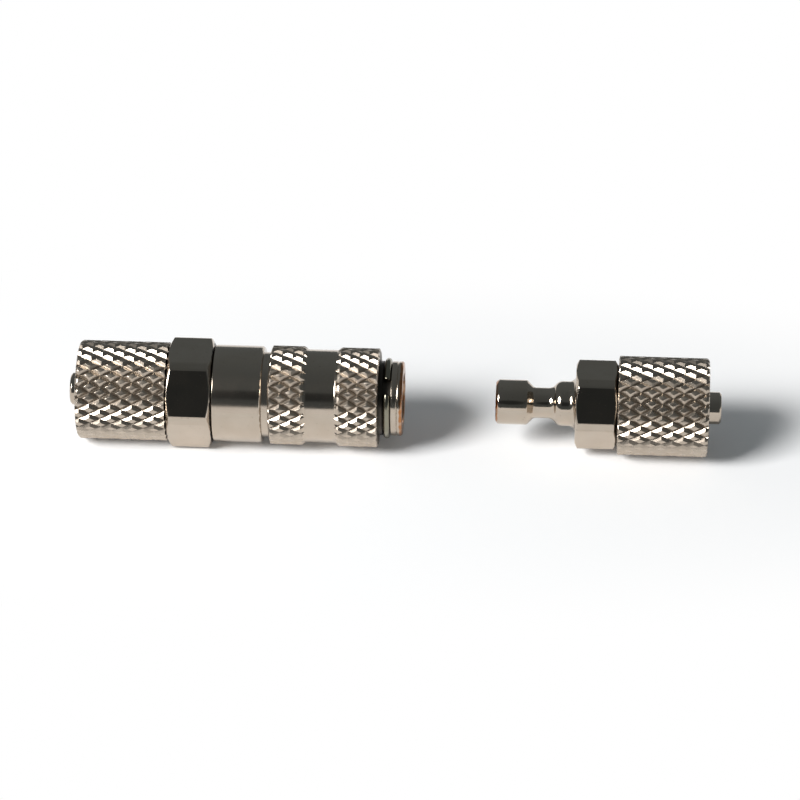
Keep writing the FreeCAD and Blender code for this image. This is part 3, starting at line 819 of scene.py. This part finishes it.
def raise_diamonds(piece, knurl, rows, root):
    """Raise every other corner of the rows to a peak, cut the peaks flat and round their edges."""
    columns = 2 * knurl.starts
    rise = knurl.depth / (1 - knurl.top_share)
    row_places = [row * BENCH for row in rows]

    def row_of(vertex):
        """Number of the row that holds the vertex, or None."""
        row = min(range(len(rows)), key=lambda index: abs(row_places[index] - vertex.co.x))
        return row if abs(row_places[row] - vertex.co.x) < ROW_SLACK else None

    def is_peak(vertex):
        row = row_of(vertex)
        if row is None or abs(radius_of(vertex.co) - root * BENCH) > ROW_SLACK:
            return False
        turn = math.atan2(vertex.co.z - AXIS_POINT.z, vertex.co.y) / math.tau
        return (row + round(turn * columns)) % 2 == 1

    def is_raised(vertex):
        return row_of(vertex) is not None and radius_of(vertex.co) > (root + rise / 2) * BENCH

    pick(piece, "VERT", is_peak)
    growth = (root + rise) / root
    bpy.ops.transform.resize(value=(1, growth, growth), center_override=AXIS_POINT)
    pick(piece, "FACE", lambda face: len(face.verts) == 4 and any(is_raised(vertex) for vertex in face.verts))
    bpy.ops.mesh.quads_convert_to_tris(quad_method="SHORTEST_DIAGONAL")
    pick(piece, "VERT", is_raised)
    bpy.ops.mesh.bevel(offset_type="PERCENT", offset_pct=100 * knurl.top_share, segments=1, affect="VERTICES")
    bpy.ops.mesh.select_mode(type="FACE")
    bpy.ops.mesh.region_to_loop()
    bpy.ops.mesh.bevel(offset=knurl.top_round * BENCH, segments=2, affect="EDGES")


def trim(blank, envelope):
    """Keep what a knurled blank and a turned envelope share, and leave it open for editing."""
    for piece in (blank, envelope):
        take_up(piece)
        bpy.ops.object.mode_set(mode="EDIT")
        face_outwards()
    take_up(blank)
    shape_by(blank, "INTERSECT", envelope)
    bpy.ops.object.mode_set(mode="EDIT")
    keep_flat(blank, is_flank)


def tube_nut(name, near_x, way, nut, knurl):
    """Knurled nut from its face at the hexagon to its rounded rim at the tube, with its stepped hole."""
    root = NUT_RADIUS - knurl.depth
    far_x = near_x + way * NUT_LENGTH
    knurl_near_x = near_x + way * nut.face_chamfer
    rows = run_out(knurl_rows(knurl, knurl_near_x, far_x - way * nut.rim_round, NUT_RADIUS))
    blank = drum(name, [(row, root) for row in rows], 2 * knurl.starts)
    raise_diamonds(blank, knurl, rows, root)
    bpy.ops.object.mode_set(mode="OBJECT")
    envelope = turned(name + "_envelope", [
        (near_x, nut.thread_radius),
        (near_x, root),
        (knurl_near_x, NUT_RADIUS + KNURL_ALLOWANCE),
        (far_x, NUT_RADIUS + KNURL_ALLOWANCE, nut.rim_round),
        (far_x, nut.hole_radius + nut.mouth_chamfer),
        (far_x - way * nut.mouth_chamfer, nut.hole_radius),
        (near_x + way * (nut.thread_length + nut.cone_length), nut.hole_radius),
        (near_x + way * nut.thread_length, nut.thread_radius),
    ], FINE_BREAK)
    trim(blank, envelope)
    close_up(blank)
    return blank


def close_core(piece):
    """Take out the thin core that turning leaves along the axis, and close its two ends."""
    core = 2 * CORE_RADIUS * BENCH
    pick(piece, "FACE", lambda face: all(radius_of(vertex.co) < core for vertex in face.verts))
    bpy.ops.mesh.delete(type="FACE")
    cap_ends(piece)


def drill_across(piece, x, diameter, angles_deg):
    """Drill through the piece and its axis at each angle, and leave it open for editing."""
    face_outwards()
    bpy.ops.object.mode_set(mode="OBJECT")
    for degrees in angles_deg:
        bpy.ops.object.select_all(action="DESELECT")
        bpy.ops.mesh.primitive_cylinder_add(vertices=DRILL_SIDES, radius=diameter / 2 * BENCH,
                                            depth=DRILL_LENGTH, location=(x * BENCH, 0, AXIS_POINT.z),
                                            rotation=(math.radians(degrees), 0, 0))
        drill = bpy.context.object
        take_up(piece)
        shape_by(piece, "DIFFERENCE", drill)
    bpy.ops.object.mode_set(mode="EDIT")


def seal_ring(name, node):
    """Rubber ring of round section, with a fine flat where its mould parts."""
    low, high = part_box(node)
    section = high.x - low.x
    outer = (high.z - low.z) / 2
    inner = outer - section
    corners = [(low.x, inner), (low.x, outer), (high.x, outer), (high.x, inner)]
    piece = turned(name, corners, SEAL_ROUND * section)
    close_up(piece)
    return piece


def coil(name, node, wire, turns):
    """Compression spring of round wire wound between the node's ends, which are ground flat."""
    low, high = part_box(node)
    wire_radius = wire / 2 * BENCH
    winding_radius = (high.z - low.z) / 2 * BENCH - wire_radius
    ground = wire_radius / 2
    bpy.ops.object.select_all(action="DESELECT")
    bpy.ops.mesh.primitive_circle_add(vertices=COIL_SIDES, radius=wire_radius, rotation=(math.pi / 2, 0, 0),
                                      location=(low.x * BENCH - ground, 0, -winding_radius))
    piece = edit_new(name)
    bpy.ops.object.mode_set(mode="OBJECT")
    winding = piece.modifiers.new("winding", "SCREW")
    winding.axis = "X"
    winding.angle = math.tau * turns
    winding.screw_offset = (high.x - low.x) * BENCH + 2 * ground
    winding.steps = COIL_STEPS * turns
    winding.render_steps = winding.steps
    bpy.ops.object.modifier_apply(modifier=winding.name)
    bpy.ops.object.mode_set(mode="EDIT")
    cap_ends(piece)
    bpy.ops.mesh.select_all(action="SELECT")
    bpy.ops.transform.translate(value=AXIS_POINT)
    slice_off((low.x * BENCH, 0, 0), (-1, 0, 0))
    slice_off((high.x * BENCH, 0, 0), (1, 0, 0))
    close_up(piece, SMOOTH_ROUND_DEG)
    return piece


def middle(node):
    """Middle of a node's box."""
    low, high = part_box(node)
    return (low + high) / 2


def ball(name, node):
    """Steel ball, rounded from a finely divided cube."""
    low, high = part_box(node)
    centre = middle(node) * BENCH
    radius = (high.x - low.x) / 2 * BENCH
    bpy.ops.object.select_all(action="DESELECT")
    bpy.ops.mesh.primitive_cube_add(size=2 * radius, location=centre)
    piece = edit_new(name)
    bpy.ops.mesh.subdivide(number_cuts=BALL_CUTS)
    bpy.ops.transform.tosphere(value=1.0)
    mesh = bmesh.from_edit_mesh(piece.data)
    reached = max((vertex.co - centre).length for vertex in mesh.verts)
    bpy.ops.transform.resize(value=(radius / reached,) * 3, center_override=centre)
    close_up(piece, SMOOTH_ROUND_DEG)
    return piece


def stem_corners(root_x, way, stem_x, tube):
    """Outline from a hexagon's face along the boss and the barbed stem to its tip, and into the bore."""
    boss_x = root_x + way * tube.boss_length
    barb_x = boss_x + way * tube.barb_step
    return [
        (root_x, tube.boss_radius),
        (boss_x, tube.boss_radius),
        (boss_x, tube.stem_radius),
        (barb_x, tube.stem_radius),
        (barb_x, tube.barb_radius),
        (barb_x + way * tube.barb_taper, tube.stem_radius),
        (stem_x - way * tube.stem_chamfer, tube.stem_radius),
        (stem_x, tube.stem_radius - tube.stem_chamfer),
        (stem_x, tube.bore_radius),
    ]


def hex_corners(start_x, end_x, flats, corners):
    """Outline of a hexagon's turned blank, with chamfered ends."""
    face_radius = flats / 2 - HEX_FACE_INSET
    way = 1 if end_x > start_x else -1
    chamfer = (corners / 2 - face_radius) * math.tan(math.radians(HEX_CHAMFER_DEG)) * way
    return [
        (start_x, face_radius),
        (start_x + chamfer, corners / 2),
        (end_x - chamfer, corners / 2),
        (end_x, face_radius),
    ]


class COUPLER_OT_tail_fitting(Operator):
    """Turn the socket's tail fitting and mill its hexagon"""

    bl_idname = "coupler.tail_fitting"
    bl_label = "Tail fitting"

    def execute(self, context):
        scene = context.scene
        socket = scene.coupler_socket
        tube = scene.coupler_tube
        hex_x = SOCKET_NUT_HIGH.x + scene.coupler_nut.seam
        pocket_x = BODY_REAR_X - socket.pocket_depth
        corners = [
            (SPIGOT_X, socket.pocket_radius),
            (SPIGOT_X, socket.spigot_radius),
            (BODY_REAR_X, socket.spigot_radius),
        ]
        corners += hex_corners(BODY_REAR_X, hex_x, socket.hex_flats, socket.hex_corners)
        corners += stem_corners(hex_x, -1, TAIL_STEM_X, tube)
        corners += [(pocket_x, tube.bore_radius), (pocket_x, socket.pocket_radius)]
        piece = turned("tail_fitting_plated", corners, EDGE_BREAK)
        mill_flats(piece, socket.hex_flats, FLAT_BREAK)
        close_up(piece, SMOOTH_MILLED_DEG)
        # Painted shade darkens the seam at the nut and the joint at the body's rear.
        plate = nickel("nickel_hexagon", scene.coupler_finish, marks=0.0006 * MM,
                       painted_shade_stretches=[(hex_x - SEAM_BOSS_SHADE, hex_x + SEAM_HEX_SHADE),
                              (BODY_REAR_X - JOINT_REAR_SHADE, SPIGOT_X)])
        seat(piece, "socket", "tail_fitting", plate)
        return {"FINISHED"}


class COUPLER_OT_socket_body(Operator):
    """Turn the socket's body and drill its ball holes"""

    bl_idname = "coupler.socket_body"
    bl_label = "Socket body"

    def execute(self, context):
        scene = context.scene
        socket = scene.coupler_socket
        barrel_x = BODY_REAR_X + socket.barrel_length
        guide_x = barrel_x + socket.guide_length
        lip_x = MOUTH_X - socket.lip_length
        line_x = MOUTH_X - socket.lip_length / 2
        groove_x = lip_x - socket.ring_groove
        seal_x = MOUTH_X - socket.seal_depth
        seat_x = MOUTH_X - socket.seat_depth
        chamber_x = seat_x - (socket.chamber_radius - socket.valve_radius)
        thread_radius = socket.spigot_radius + THREAD_FIT
        thread_x = SPIGOT_X + SPIGOT_ROOM
        half_line = socket.lip_line / 2
        corners = [
            (MOUTH_X, socket.bore_radius + socket.bore_chamfer),
            (MOUTH_X, socket.front_radius - socket.lip_chamfer),
            (MOUTH_X - socket.lip_chamfer, socket.front_radius),
            (line_x + half_line, socket.front_radius),
            (line_x, socket.front_radius - half_line),
            (line_x - half_line, socket.front_radius),
            (lip_x, socket.front_radius),
            (lip_x, socket.ring_floor),
            (groove_x, socket.ring_floor),
            (groove_x, socket.front_radius),
            (guide_x, socket.front_radius),
            (guide_x, socket.guide_radius),
            (barrel_x, socket.guide_radius),
            (barrel_x, socket.barrel_radius - socket.barrel_chamfer),
            (barrel_x - socket.barrel_chamfer, socket.barrel_radius),
            (BODY_REAR_X + socket.barrel_chamfer, socket.barrel_radius),
            (BODY_REAR_X, socket.barrel_radius - socket.barrel_chamfer),
            (BODY_REAR_X, thread_radius),
            (thread_x, thread_radius),
            (thread_x, socket.chamber_radius),
            (chamber_x, socket.chamber_radius),
            (seat_x, socket.valve_radius),
            (seal_x - socket.seal_width / 2, socket.valve_radius),
            (seal_x - socket.seal_width / 2, socket.seal_floor),
            (seal_x + socket.seal_width / 2, socket.seal_floor),
            (seal_x + socket.seal_width / 2, socket.valve_radius),
            (MOUTH_X - socket.guide_depth, socket.valve_radius),
            (MOUTH_X - socket.guide_depth, socket.bore_radius),
            (MOUTH_X - socket.bore_chamfer, socket.bore_radius),
        ]
        piece = turned("socket_body_plated", corners, EDGE_BREAK)
        drill_across(piece, middle("lock_ball_1").x, socket.ball_hole, BALL_HOLES_DEG)
        close_up(piece)
        # Brass shows on the worn mouth; painted shade darkens the joint at the barrel's rear and the body
        # beside both ends of the sleeve.
        plate = nickel("nickel_barrel", scene.coupler_finish, marks=0.0009 * MM,
                       haze=scene.coupler_finish.barrel_haze,
                       worn=[(MOUTH_X - MOUTH_WEAR, MOUTH_X + BEYOND)],
                       painted_shade_stretches=[(BODY_REAR_X - BEYOND, BODY_REAR_X + JOINT_FRONT_SHADE),
                              (barrel_x + GUIDE_UNSHADED, SLEEVE_REAR_X + COVERED_SHADE),
                              (SLEEVE_FRONT_X - COVERED_SHADE, lip_x - LIP_UNSHADED)])
        seat(piece, "socket", "socket_body", plate)
        return {"FINISHED"}


class COUPLER_OT_plug_body(Operator):
    """Turn the plug and mill its hexagon"""

    bl_idname = "coupler.plug_body"
    bl_label = "Plug"

    def execute(self, context):
        scene = context.scene
        plug = scene.coupler_plug
        tube = scene.coupler_tube
        slope = plug.nose_radius - plug.groove_radius
        groove_x = NOSE_X + plug.nose_length
        floor_x = groove_x + slope
        floor_end_x = floor_x + plug.groove_floor
        rise_end_x = floor_end_x + plug.groove_rise
        # The rise is two equal arcs that meet half way up; each takes this run of the corner's sides.
        rise_run = (plug.groove_rise ** 2 + slope ** 2) / (4 * plug.groove_rise)
        hex_end_x = PLUG_NUT_LOW.x - scene.coupler_nut.seam
        hex_x = hex_end_x - plug.hex_length
        corners = [
            (NOSE_X, tube.bore_radius),
            (NOSE_X, plug.nose_radius - plug.nose_chamfer),
            (NOSE_X + plug.nose_chamfer, plug.nose_radius, NOSE_ROUND),
            (groove_x, plug.nose_radius, NOSE_EDGE),
            (floor_x, plug.groove_radius, plug.nose_side_round),
            (floor_end_x + rise_run, plug.groove_radius, ARC_SHARE * rise_run),
            (rise_end_x - rise_run, plug.nose_radius, ARC_SHARE * rise_run),
            (hex_x, plug.nose_radius, plug.hex_fillet),
        ]
        corners += hex_corners(hex_x, hex_end_x, plug.hex_flats, plug.hex_corners)
        corners += stem_corners(hex_end_x, 1, PLUG_STEM_X, tube)
        piece = turned("plug_body_plated", corners, EDGE_BREAK)
        mill_flats(piece, plug.hex_flats, FLAT_BREAK)
        close_up(piece, SMOOTH_MILLED_DEG)
        # Brass shows on the worn nose; painted shade darkens the seam at the nut.
        plate = nickel("nickel_plug", scene.coupler_finish, marks=0.0009 * MM,
                       worn=[(NOSE_X - BEYOND, NOSE_X + NOSE_WEAR)],
                       painted_shade_stretches=[(hex_end_x - SEAM_HEX_SHADE, hex_end_x + SEAM_BOSS_SHADE)])
        seat(piece, "plug", "plug_body", plate)
        return {"FINISHED"}


class COUPLER_OT_tube_nuts(Operator):
    """Model and knurl the two tube nuts"""

    bl_idname = "coupler.tube_nuts"
    bl_label = "Tube nuts"

    def execute(self, context):
        scene = context.scene
        # Dirt and painted shade darken the nuts' knurl grooves below this radius.
        floor = NUT_RADIUS - scene.coupler_knurl.depth + DIRT_AND_SHADE_RISE
        plate = nickel("nickel_knurl", scene.coupler_finish, marks=0.0005 * MM, groove_floor=floor)
        for name, near_x, way, body, node in (
            ("socket_nut_knurled", SOCKET_NUT_HIGH.x, -1, "socket_nut", "socket_tube_nut"),
            ("plug_nut_knurled", PLUG_NUT_LOW.x, 1, "plug_nut", "plug_tube_nut"),
        ):
            piece = tube_nut(name, near_x, way, scene.coupler_nut, scene.coupler_knurl)
            seat(piece, body, node, plate)
        return {"FINISHED"}


class COUPLER_OT_lock_sleeve(Operator):
    """Model the sliding sleeve and knurl its two bands"""

    bl_idname = "coupler.lock_sleeve"
    bl_label = "Lock sleeve"

    def execute(self, context):
        scene = context.scene
        sleeve = scene.coupler_sleeve
        knurl = scene.coupler_knurl
        crest = sleeve.waist_radius + knurl.depth
        waist_front_x = SLEEVE_FRONT_X - sleeve.front_band
        waist_rear_x = waist_front_x - sleeve.waist
        relief_x = SLEEVE_FRONT_X - sleeve.land
        ramp_x = relief_x - sleeve.relief
        land_x = ramp_x - (sleeve.relief_radius - sleeve.land_radius)
        collar_x = land_x - sleeve.collar
        root = sleeve.waist_radius + SLEEVE_STAND
        front_rows = run_out(knurl_rows(knurl, SLEEVE_FRONT_X - sleeve.end_chamfer,
                                        waist_front_x + sleeve.band_taper, crest))
        rear_rows = run_out(knurl_rows(knurl, waist_rear_x - sleeve.band_taper,
                                       SLEEVE_REAR_X + sleeve.end_chamfer, crest))
        clear = crest + knurl.depth
        rings = [(row, root) for row in front_rows]
        rings += [(front_rows[-1] - STOCK_STEP, clear), (rear_rows[0] + STOCK_STEP, clear)]
        rings += [(row, root) for row in rear_rows]
        blank = drum("lock_sleeve_knurled", rings, 2 * knurl.starts)
        raise_diamonds(blank, knurl, front_rows, root)
        raise_diamonds(blank, knurl, rear_rows, root)
        bpy.ops.object.mode_set(mode="OBJECT")
        outside = crest + KNURL_ALLOWANCE
        envelope = turned("sleeve_envelope", [
            (SLEEVE_FRONT_X, sleeve.waist_radius),
            (SLEEVE_FRONT_X - sleeve.end_chamfer, outside),
            (waist_front_x + sleeve.band_taper, outside, BAND_ROUND),
            (waist_front_x, sleeve.waist_radius, BAND_ROUND),
            (waist_rear_x, sleeve.waist_radius, BAND_ROUND),
            (waist_rear_x - sleeve.band_taper, outside, BAND_ROUND),
            (SLEEVE_REAR_X + sleeve.end_chamfer, outside),
            (SLEEVE_REAR_X, sleeve.waist_radius),
            (SLEEVE_REAR_X, sleeve.bore_radius),
            (collar_x, sleeve.bore_radius),
            (collar_x, sleeve.land_radius),
            (land_x, sleeve.land_radius),
            (ramp_x, sleeve.relief_radius),
            (relief_x, sleeve.relief_radius),
            (relief_x, sleeve.land_radius),
            (SLEEVE_FRONT_X, sleeve.land_radius),
        ], FINE_BREAK)
        trim(blank, envelope)
        close_up(blank)
        # Dirt and painted shade darken the sleeve's knurl grooves, except on the plain waist.
        plate = nickel("nickel_sleeve", scene.coupler_finish, marks=0.0007 * MM,
                       haze=scene.coupler_finish.sleeve_haze, groove_floor=root + DIRT_AND_SHADE_RISE,
                       plain=(waist_rear_x - sleeve.band_taper / 2, waist_front_x + sleeve.band_taper / 2))
        seat(blank, "sleeve", "lock_sleeve", plate)
        return {"FINISHED"}


class COUPLER_OT_snap_ring(Operator):
    """Bend the open snap ring of round wire"""

    bl_idname = "coupler.snap_ring"
    bl_label = "Snap ring"

    def execute(self, context):
        finish = context.scene.coupler_finish
        wire = (RING_HIGH.x - RING_LOW.x) / 2 * BENCH
        centre_x = (RING_HIGH.x + RING_LOW.x) / 2 * BENCH
        bend = (RING_HIGH.y - RING_LOW.y) / 2 * BENCH - wire
        start = RING_GAP_MIDDLE + RING_GAP / 2
        bpy.ops.object.select_all(action="DESELECT")
        bpy.ops.mesh.primitive_circle_add(
            vertices=RING_SIDES, radius=wire, rotation=(start, 0, 0),
            location=(centre_x, bend * math.cos(start), AXIS_POINT.z + bend * math.sin(start)))
        piece = edit_new("snap_ring_bent")
        bpy.ops.mesh.spin(steps=RING_STEPS, angle=math.tau - RING_GAP, center=AXIS_POINT, axis=(1, 0, 0))
        cap_ends(piece)
        pick(piece, "EDGE", lambda edge: any(len(face.verts) > 4 for face in edge.link_faces))
        bpy.ops.mesh.bevel(offset=RING_END_ROUND, segments=2, affect="EDGES")
        close_up(piece, SMOOTH_ROUND_DEG)
        wire_steel = bare_metal("ring_wire", finish.ring, roughness=0.14, marks=0.0005 * MM)
        seat(piece, "socket", "snap_ring", wire_steel)
        return {"FINISHED"}


class COUPLER_OT_inner_pieces(Operator):
    """Make the poppet, balls, seals and springs inside the socket"""

    bl_idname = "coupler.inner_pieces"
    bl_label = "Inner pieces"

    def execute(self, context):
        scene = context.scene
        finish = scene.coupler_finish
        valve = scene.coupler_valve
        brass = bare_metal("turned_brass", finish.brass, roughness=0.22, marks=0.002 * MM)
        seat(self.poppet(scene), "poppet", "valve_poppet", brass)
        rubber = seal_rubber(finish)
        for node, body in (("plug_seal", "socket"), ("tail_seal", "socket"), ("valve_seal", "poppet")):
            seat(seal_ring(node + "_ring", node), body, node, rubber)
        ball_steel = bare_metal("ball_steel", shaded(finish.steel, BALL_TONE), roughness=0.07, marks=0.0)
        nodes = [f"lock_ball_{number + 1}" for number in range(BALL_COUNT)]
        first = ball(nodes[0] + "_polished", nodes[0])
        balls = [first]
        for node in nodes[1:]:
            balls.append(copied(first, node + "_polished", middle(node) - middle(nodes[0])))
        for number, (piece, node) in enumerate(zip(balls, nodes), 1):
            seat(piece, f"ball_{number}", node, ball_steel)
        wire_steel = bare_metal("spring_wire", finish.steel, roughness=0.24, marks=0.001 * MM)
        sleeve_spring = coil("sleeve_spring_wound", "sleeve_spring", valve.spring_wire, valve.sleeve_turns)
        seat(sleeve_spring, "socket", "sleeve_spring", wire_steel)
        valve_spring = coil("valve_spring_wound", "valve_spring", valve.spring_wire, valve.valve_turns)
        seat(valve_spring, "socket", "valve_spring", wire_steel)
        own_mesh(valve_spring)
        return {"FINISHED"}

    @staticmethod
    def poppet(scene):
        """Valve poppet with its bored and ported head, seal groove, flange and spring stem."""
        valve = scene.coupler_valve
        bore = scene.coupler_tube.bore_radius
        stem_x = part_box("valve_poppet")[0].x
        face_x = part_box("valve_poppet")[1].x
        seal_low, seal_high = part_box("valve_seal")
        bore_end_x = face_x - valve.bore_depth
        groove_front_x = seal_high.x + valve.seal_room
        groove_rear_x = seal_low.x - valve.seal_room
        flange_x = groove_rear_x - valve.flange_length
        corners = [
            (bore_end_x - DRILL_POINT * bore, CORE_RADIUS),
            (bore_end_x, bore),
            (face_x, bore),
            (face_x, valve.head_radius - valve.edge_chamfer),
            (face_x - valve.edge_chamfer, valve.head_radius),
            (groove_front_x, valve.head_radius),
            (groove_front_x, valve.seal_floor),
            (groove_rear_x, valve.seal_floor),
            (groove_rear_x, valve.flange_radius),
            (flange_x, valve.flange_radius),
            (flange_x, valve.stem_radius),
            (stem_x + valve.edge_chamfer, valve.stem_radius),
            (stem_x, valve.stem_radius - valve.edge_chamfer),
            (stem_x, CORE_RADIUS),
        ]
        piece = turned("valve_poppet_turned", corners, FINE_BREAK)
        close_core(piece)
        drill_across(piece, bore_end_x + valve.port_setback, valve.port, PORTS_DEG)
        close_up(piece)
        return piece


class COUPLER_OT_stage(Operator):
    """Set the floor, lamp, room and camera"""

    bl_idname = "coupler.stage"
    bl_label = "Stage"

    def execute(self, context):
        scene = context.scene
        stage = scene.coupler_stage
        scene.view_settings.view_transform = "Standard"
        self.lay_floor(stage)
        self.hang_lamp(stage)
        self.paint_room(scene, stage)
        self.place_camera(scene, stage)
        return {"FINISHED"}

    @staticmethod
    def outward(azimuth, elevation):
        """Unit vector from the coupler: azimuth from straight in front towards +X."""
        return Vector((math.cos(elevation) * math.sin(azimuth), -math.cos(elevation) * math.cos(azimuth),
                       math.sin(elevation)))

    def lay_floor(self, stage):
        """White floor that keeps its shadows near the coupler and is plain white further off."""
        bpy.ops.object.select_all(action="DESELECT")
        bpy.ops.mesh.primitive_plane_add(size=stage.floor_side)
        floor = bpy.context.object
        floor.name = "floor"
        material, sheet = new_material("white_floor")
        camera = sheet.node("ShaderNodeLightPath", output="Is Camera Ray")
        glossy = sheet.node("ShaderNodeLightPath", output="Is Glossy Ray")
        through = sheet.node("ShaderNodeLightPath", output="Is Transmission Ray")
        seen = (camera + glossy + through).math("MINIMUM", 1.0)
        white = sheet.node("ShaderNodeBsdfDiffuse", inputs={"Color": rgba((stage.floor,) * 3)})
        glow = sheet.node("ShaderNodeEmission", inputs={"Strength": seen * stage.floor_glow})
        lit = sheet.node("ShaderNodeAddShader", inputs={0: white, 1: glow})
        along, across, _ = sheet.axes(sheet.place())
        off = (WHITE_ELLIPSE * along * along + across * across).math("SQRT")
        plain = sheet.node("ShaderNodeEmission", inputs={"Strength": 1.0})
        far = seen * off.above(stage.white_at, stage.white_fade)
        sheet.close(sheet.node("ShaderNodeMixShader", inputs={0: far, 1: lit, 2: plain}))
        floor.data.materials.append(material)

    def hang_lamp(self, stage):
        """One large square softbox to the left of the camera."""
        way = self.outward(stage.lamp_azimuth, stage.lamp_elevation)
        bpy.ops.object.light_add(type="AREA", location=way * stage.lamp_distance)
        lamp = bpy.context.object
        lamp.name = "softbox"
        lamp.rotation_euler = way.to_track_quat("Z", "Y").to_euler()
        lamp.data.shape = "SQUARE"
        lamp.data.size = stage.lamp_size
        lamp.data.energy = stage.lamp_power

    def paint_room(self, scene, stage):
        """Dim room, lighter behind, with a dark place in front."""
        scene.world = scene.world or bpy.data.worlds.new("room")
        scene.world.use_nodes = True
        sheet = Sheet(scene.world.node_tree)
        across, away, up = sheet.axes(sheet.node("ShaderNodeTexCoord", output="Generated"))
        level = stage.room_front + (stage.room_back - stage.room_front) * away.above(0.0, ROOM_FADE)
        toward = DARK_WAY[0] * across + DARK_WAY[1] * away + DARK_WAY[2] * up
        level = level + (stage.room_dark - level) * toward.above(DARK_EDGE, DARK_SOFTNESS)
        room = sheet.node("ShaderNodeBackground", inputs={"Color": ROOM_TINT, "Strength": level})
        sheet.close(room, "World")

    def place_camera(self, scene, stage):
        """Camera in front of the coupler and above it, with a long lens."""
        aim = Vector((stage.aim_x, 0, AXIS_Z - stage.aim_drop))
        way = self.outward(stage.azimuth, stage.elevation)
        bpy.ops.object.camera_add(location=aim + way * stage.distance)
        camera = bpy.context.object
        camera.rotation_euler = way.to_track_quat("Z", "Y").to_euler()
        camera.data.lens = stage.lens
        camera.data.clip_start = NEAR_CLIP
        scene.camera = camera


PIECE_OPERATORS = (
    COUPLER_OT_tail_fitting,
    COUPLER_OT_socket_body,
    COUPLER_OT_lock_sleeve,
    COUPLER_OT_snap_ring,
    COUPLER_OT_inner_pieces,
    COUPLER_OT_plug_body,
    COUPLER_OT_tube_nuts,
    COUPLER_OT_stage,
)


class COUPLER_PT_bench(Panel):
    """Sidebar panel with the coupler's steps"""

    bl_idname = "COUPLER_PT_bench"
    bl_label = "Quick coupler"
    bl_space_type = "VIEW_3D"
    bl_region_type = "UI"
    bl_category = "Coupler"

    def draw(self, context):
        for operator in PIECE_OPERATORS:
            self.layout.operator(operator.bl_idname)


SETTINGS = {
    "coupler_knurl": CouplerKnurl,
    "coupler_nut": CouplerNut,
    "coupler_tube": CouplerTube,
    "coupler_socket": CouplerSocket,
    "coupler_valve": CouplerValve,
    "coupler_sleeve": CouplerSleeve,
    "coupler_plug": CouplerPlug,
    "coupler_finish": CouplerFinish,
    "coupler_stage": CouplerStage,
}
CLASSES = (*SETTINGS.values(), *PIECE_OPERATORS, COUPLER_PT_bench)


def register():
    """Register the classes and give the scene its settings."""
    for cls in CLASSES:
        bpy.utils.register_class(cls)
    for name, cls in SETTINGS.items():
        setattr(bpy.types.Scene, name, PointerProperty(type=cls))


def unregister():
    """Take the settings and classes away again."""
    for name in SETTINGS:
        delattr(bpy.types.Scene, name)
    for cls in reversed(CLASSES):
        bpy.utils.unregister_class(cls)


def main():
    """Make every piece and the stage."""
    register()
    bpy.ops.coupler.tail_fitting()
    bpy.ops.coupler.socket_body()
    bpy.ops.coupler.lock_sleeve()
    bpy.ops.coupler.snap_ring()
    bpy.ops.coupler.inner_pieces()
    bpy.ops.coupler.plug_body()
    bpy.ops.coupler.tube_nuts()
    bpy.ops.coupler.stage()


if __name__ == "__main__":
    main()
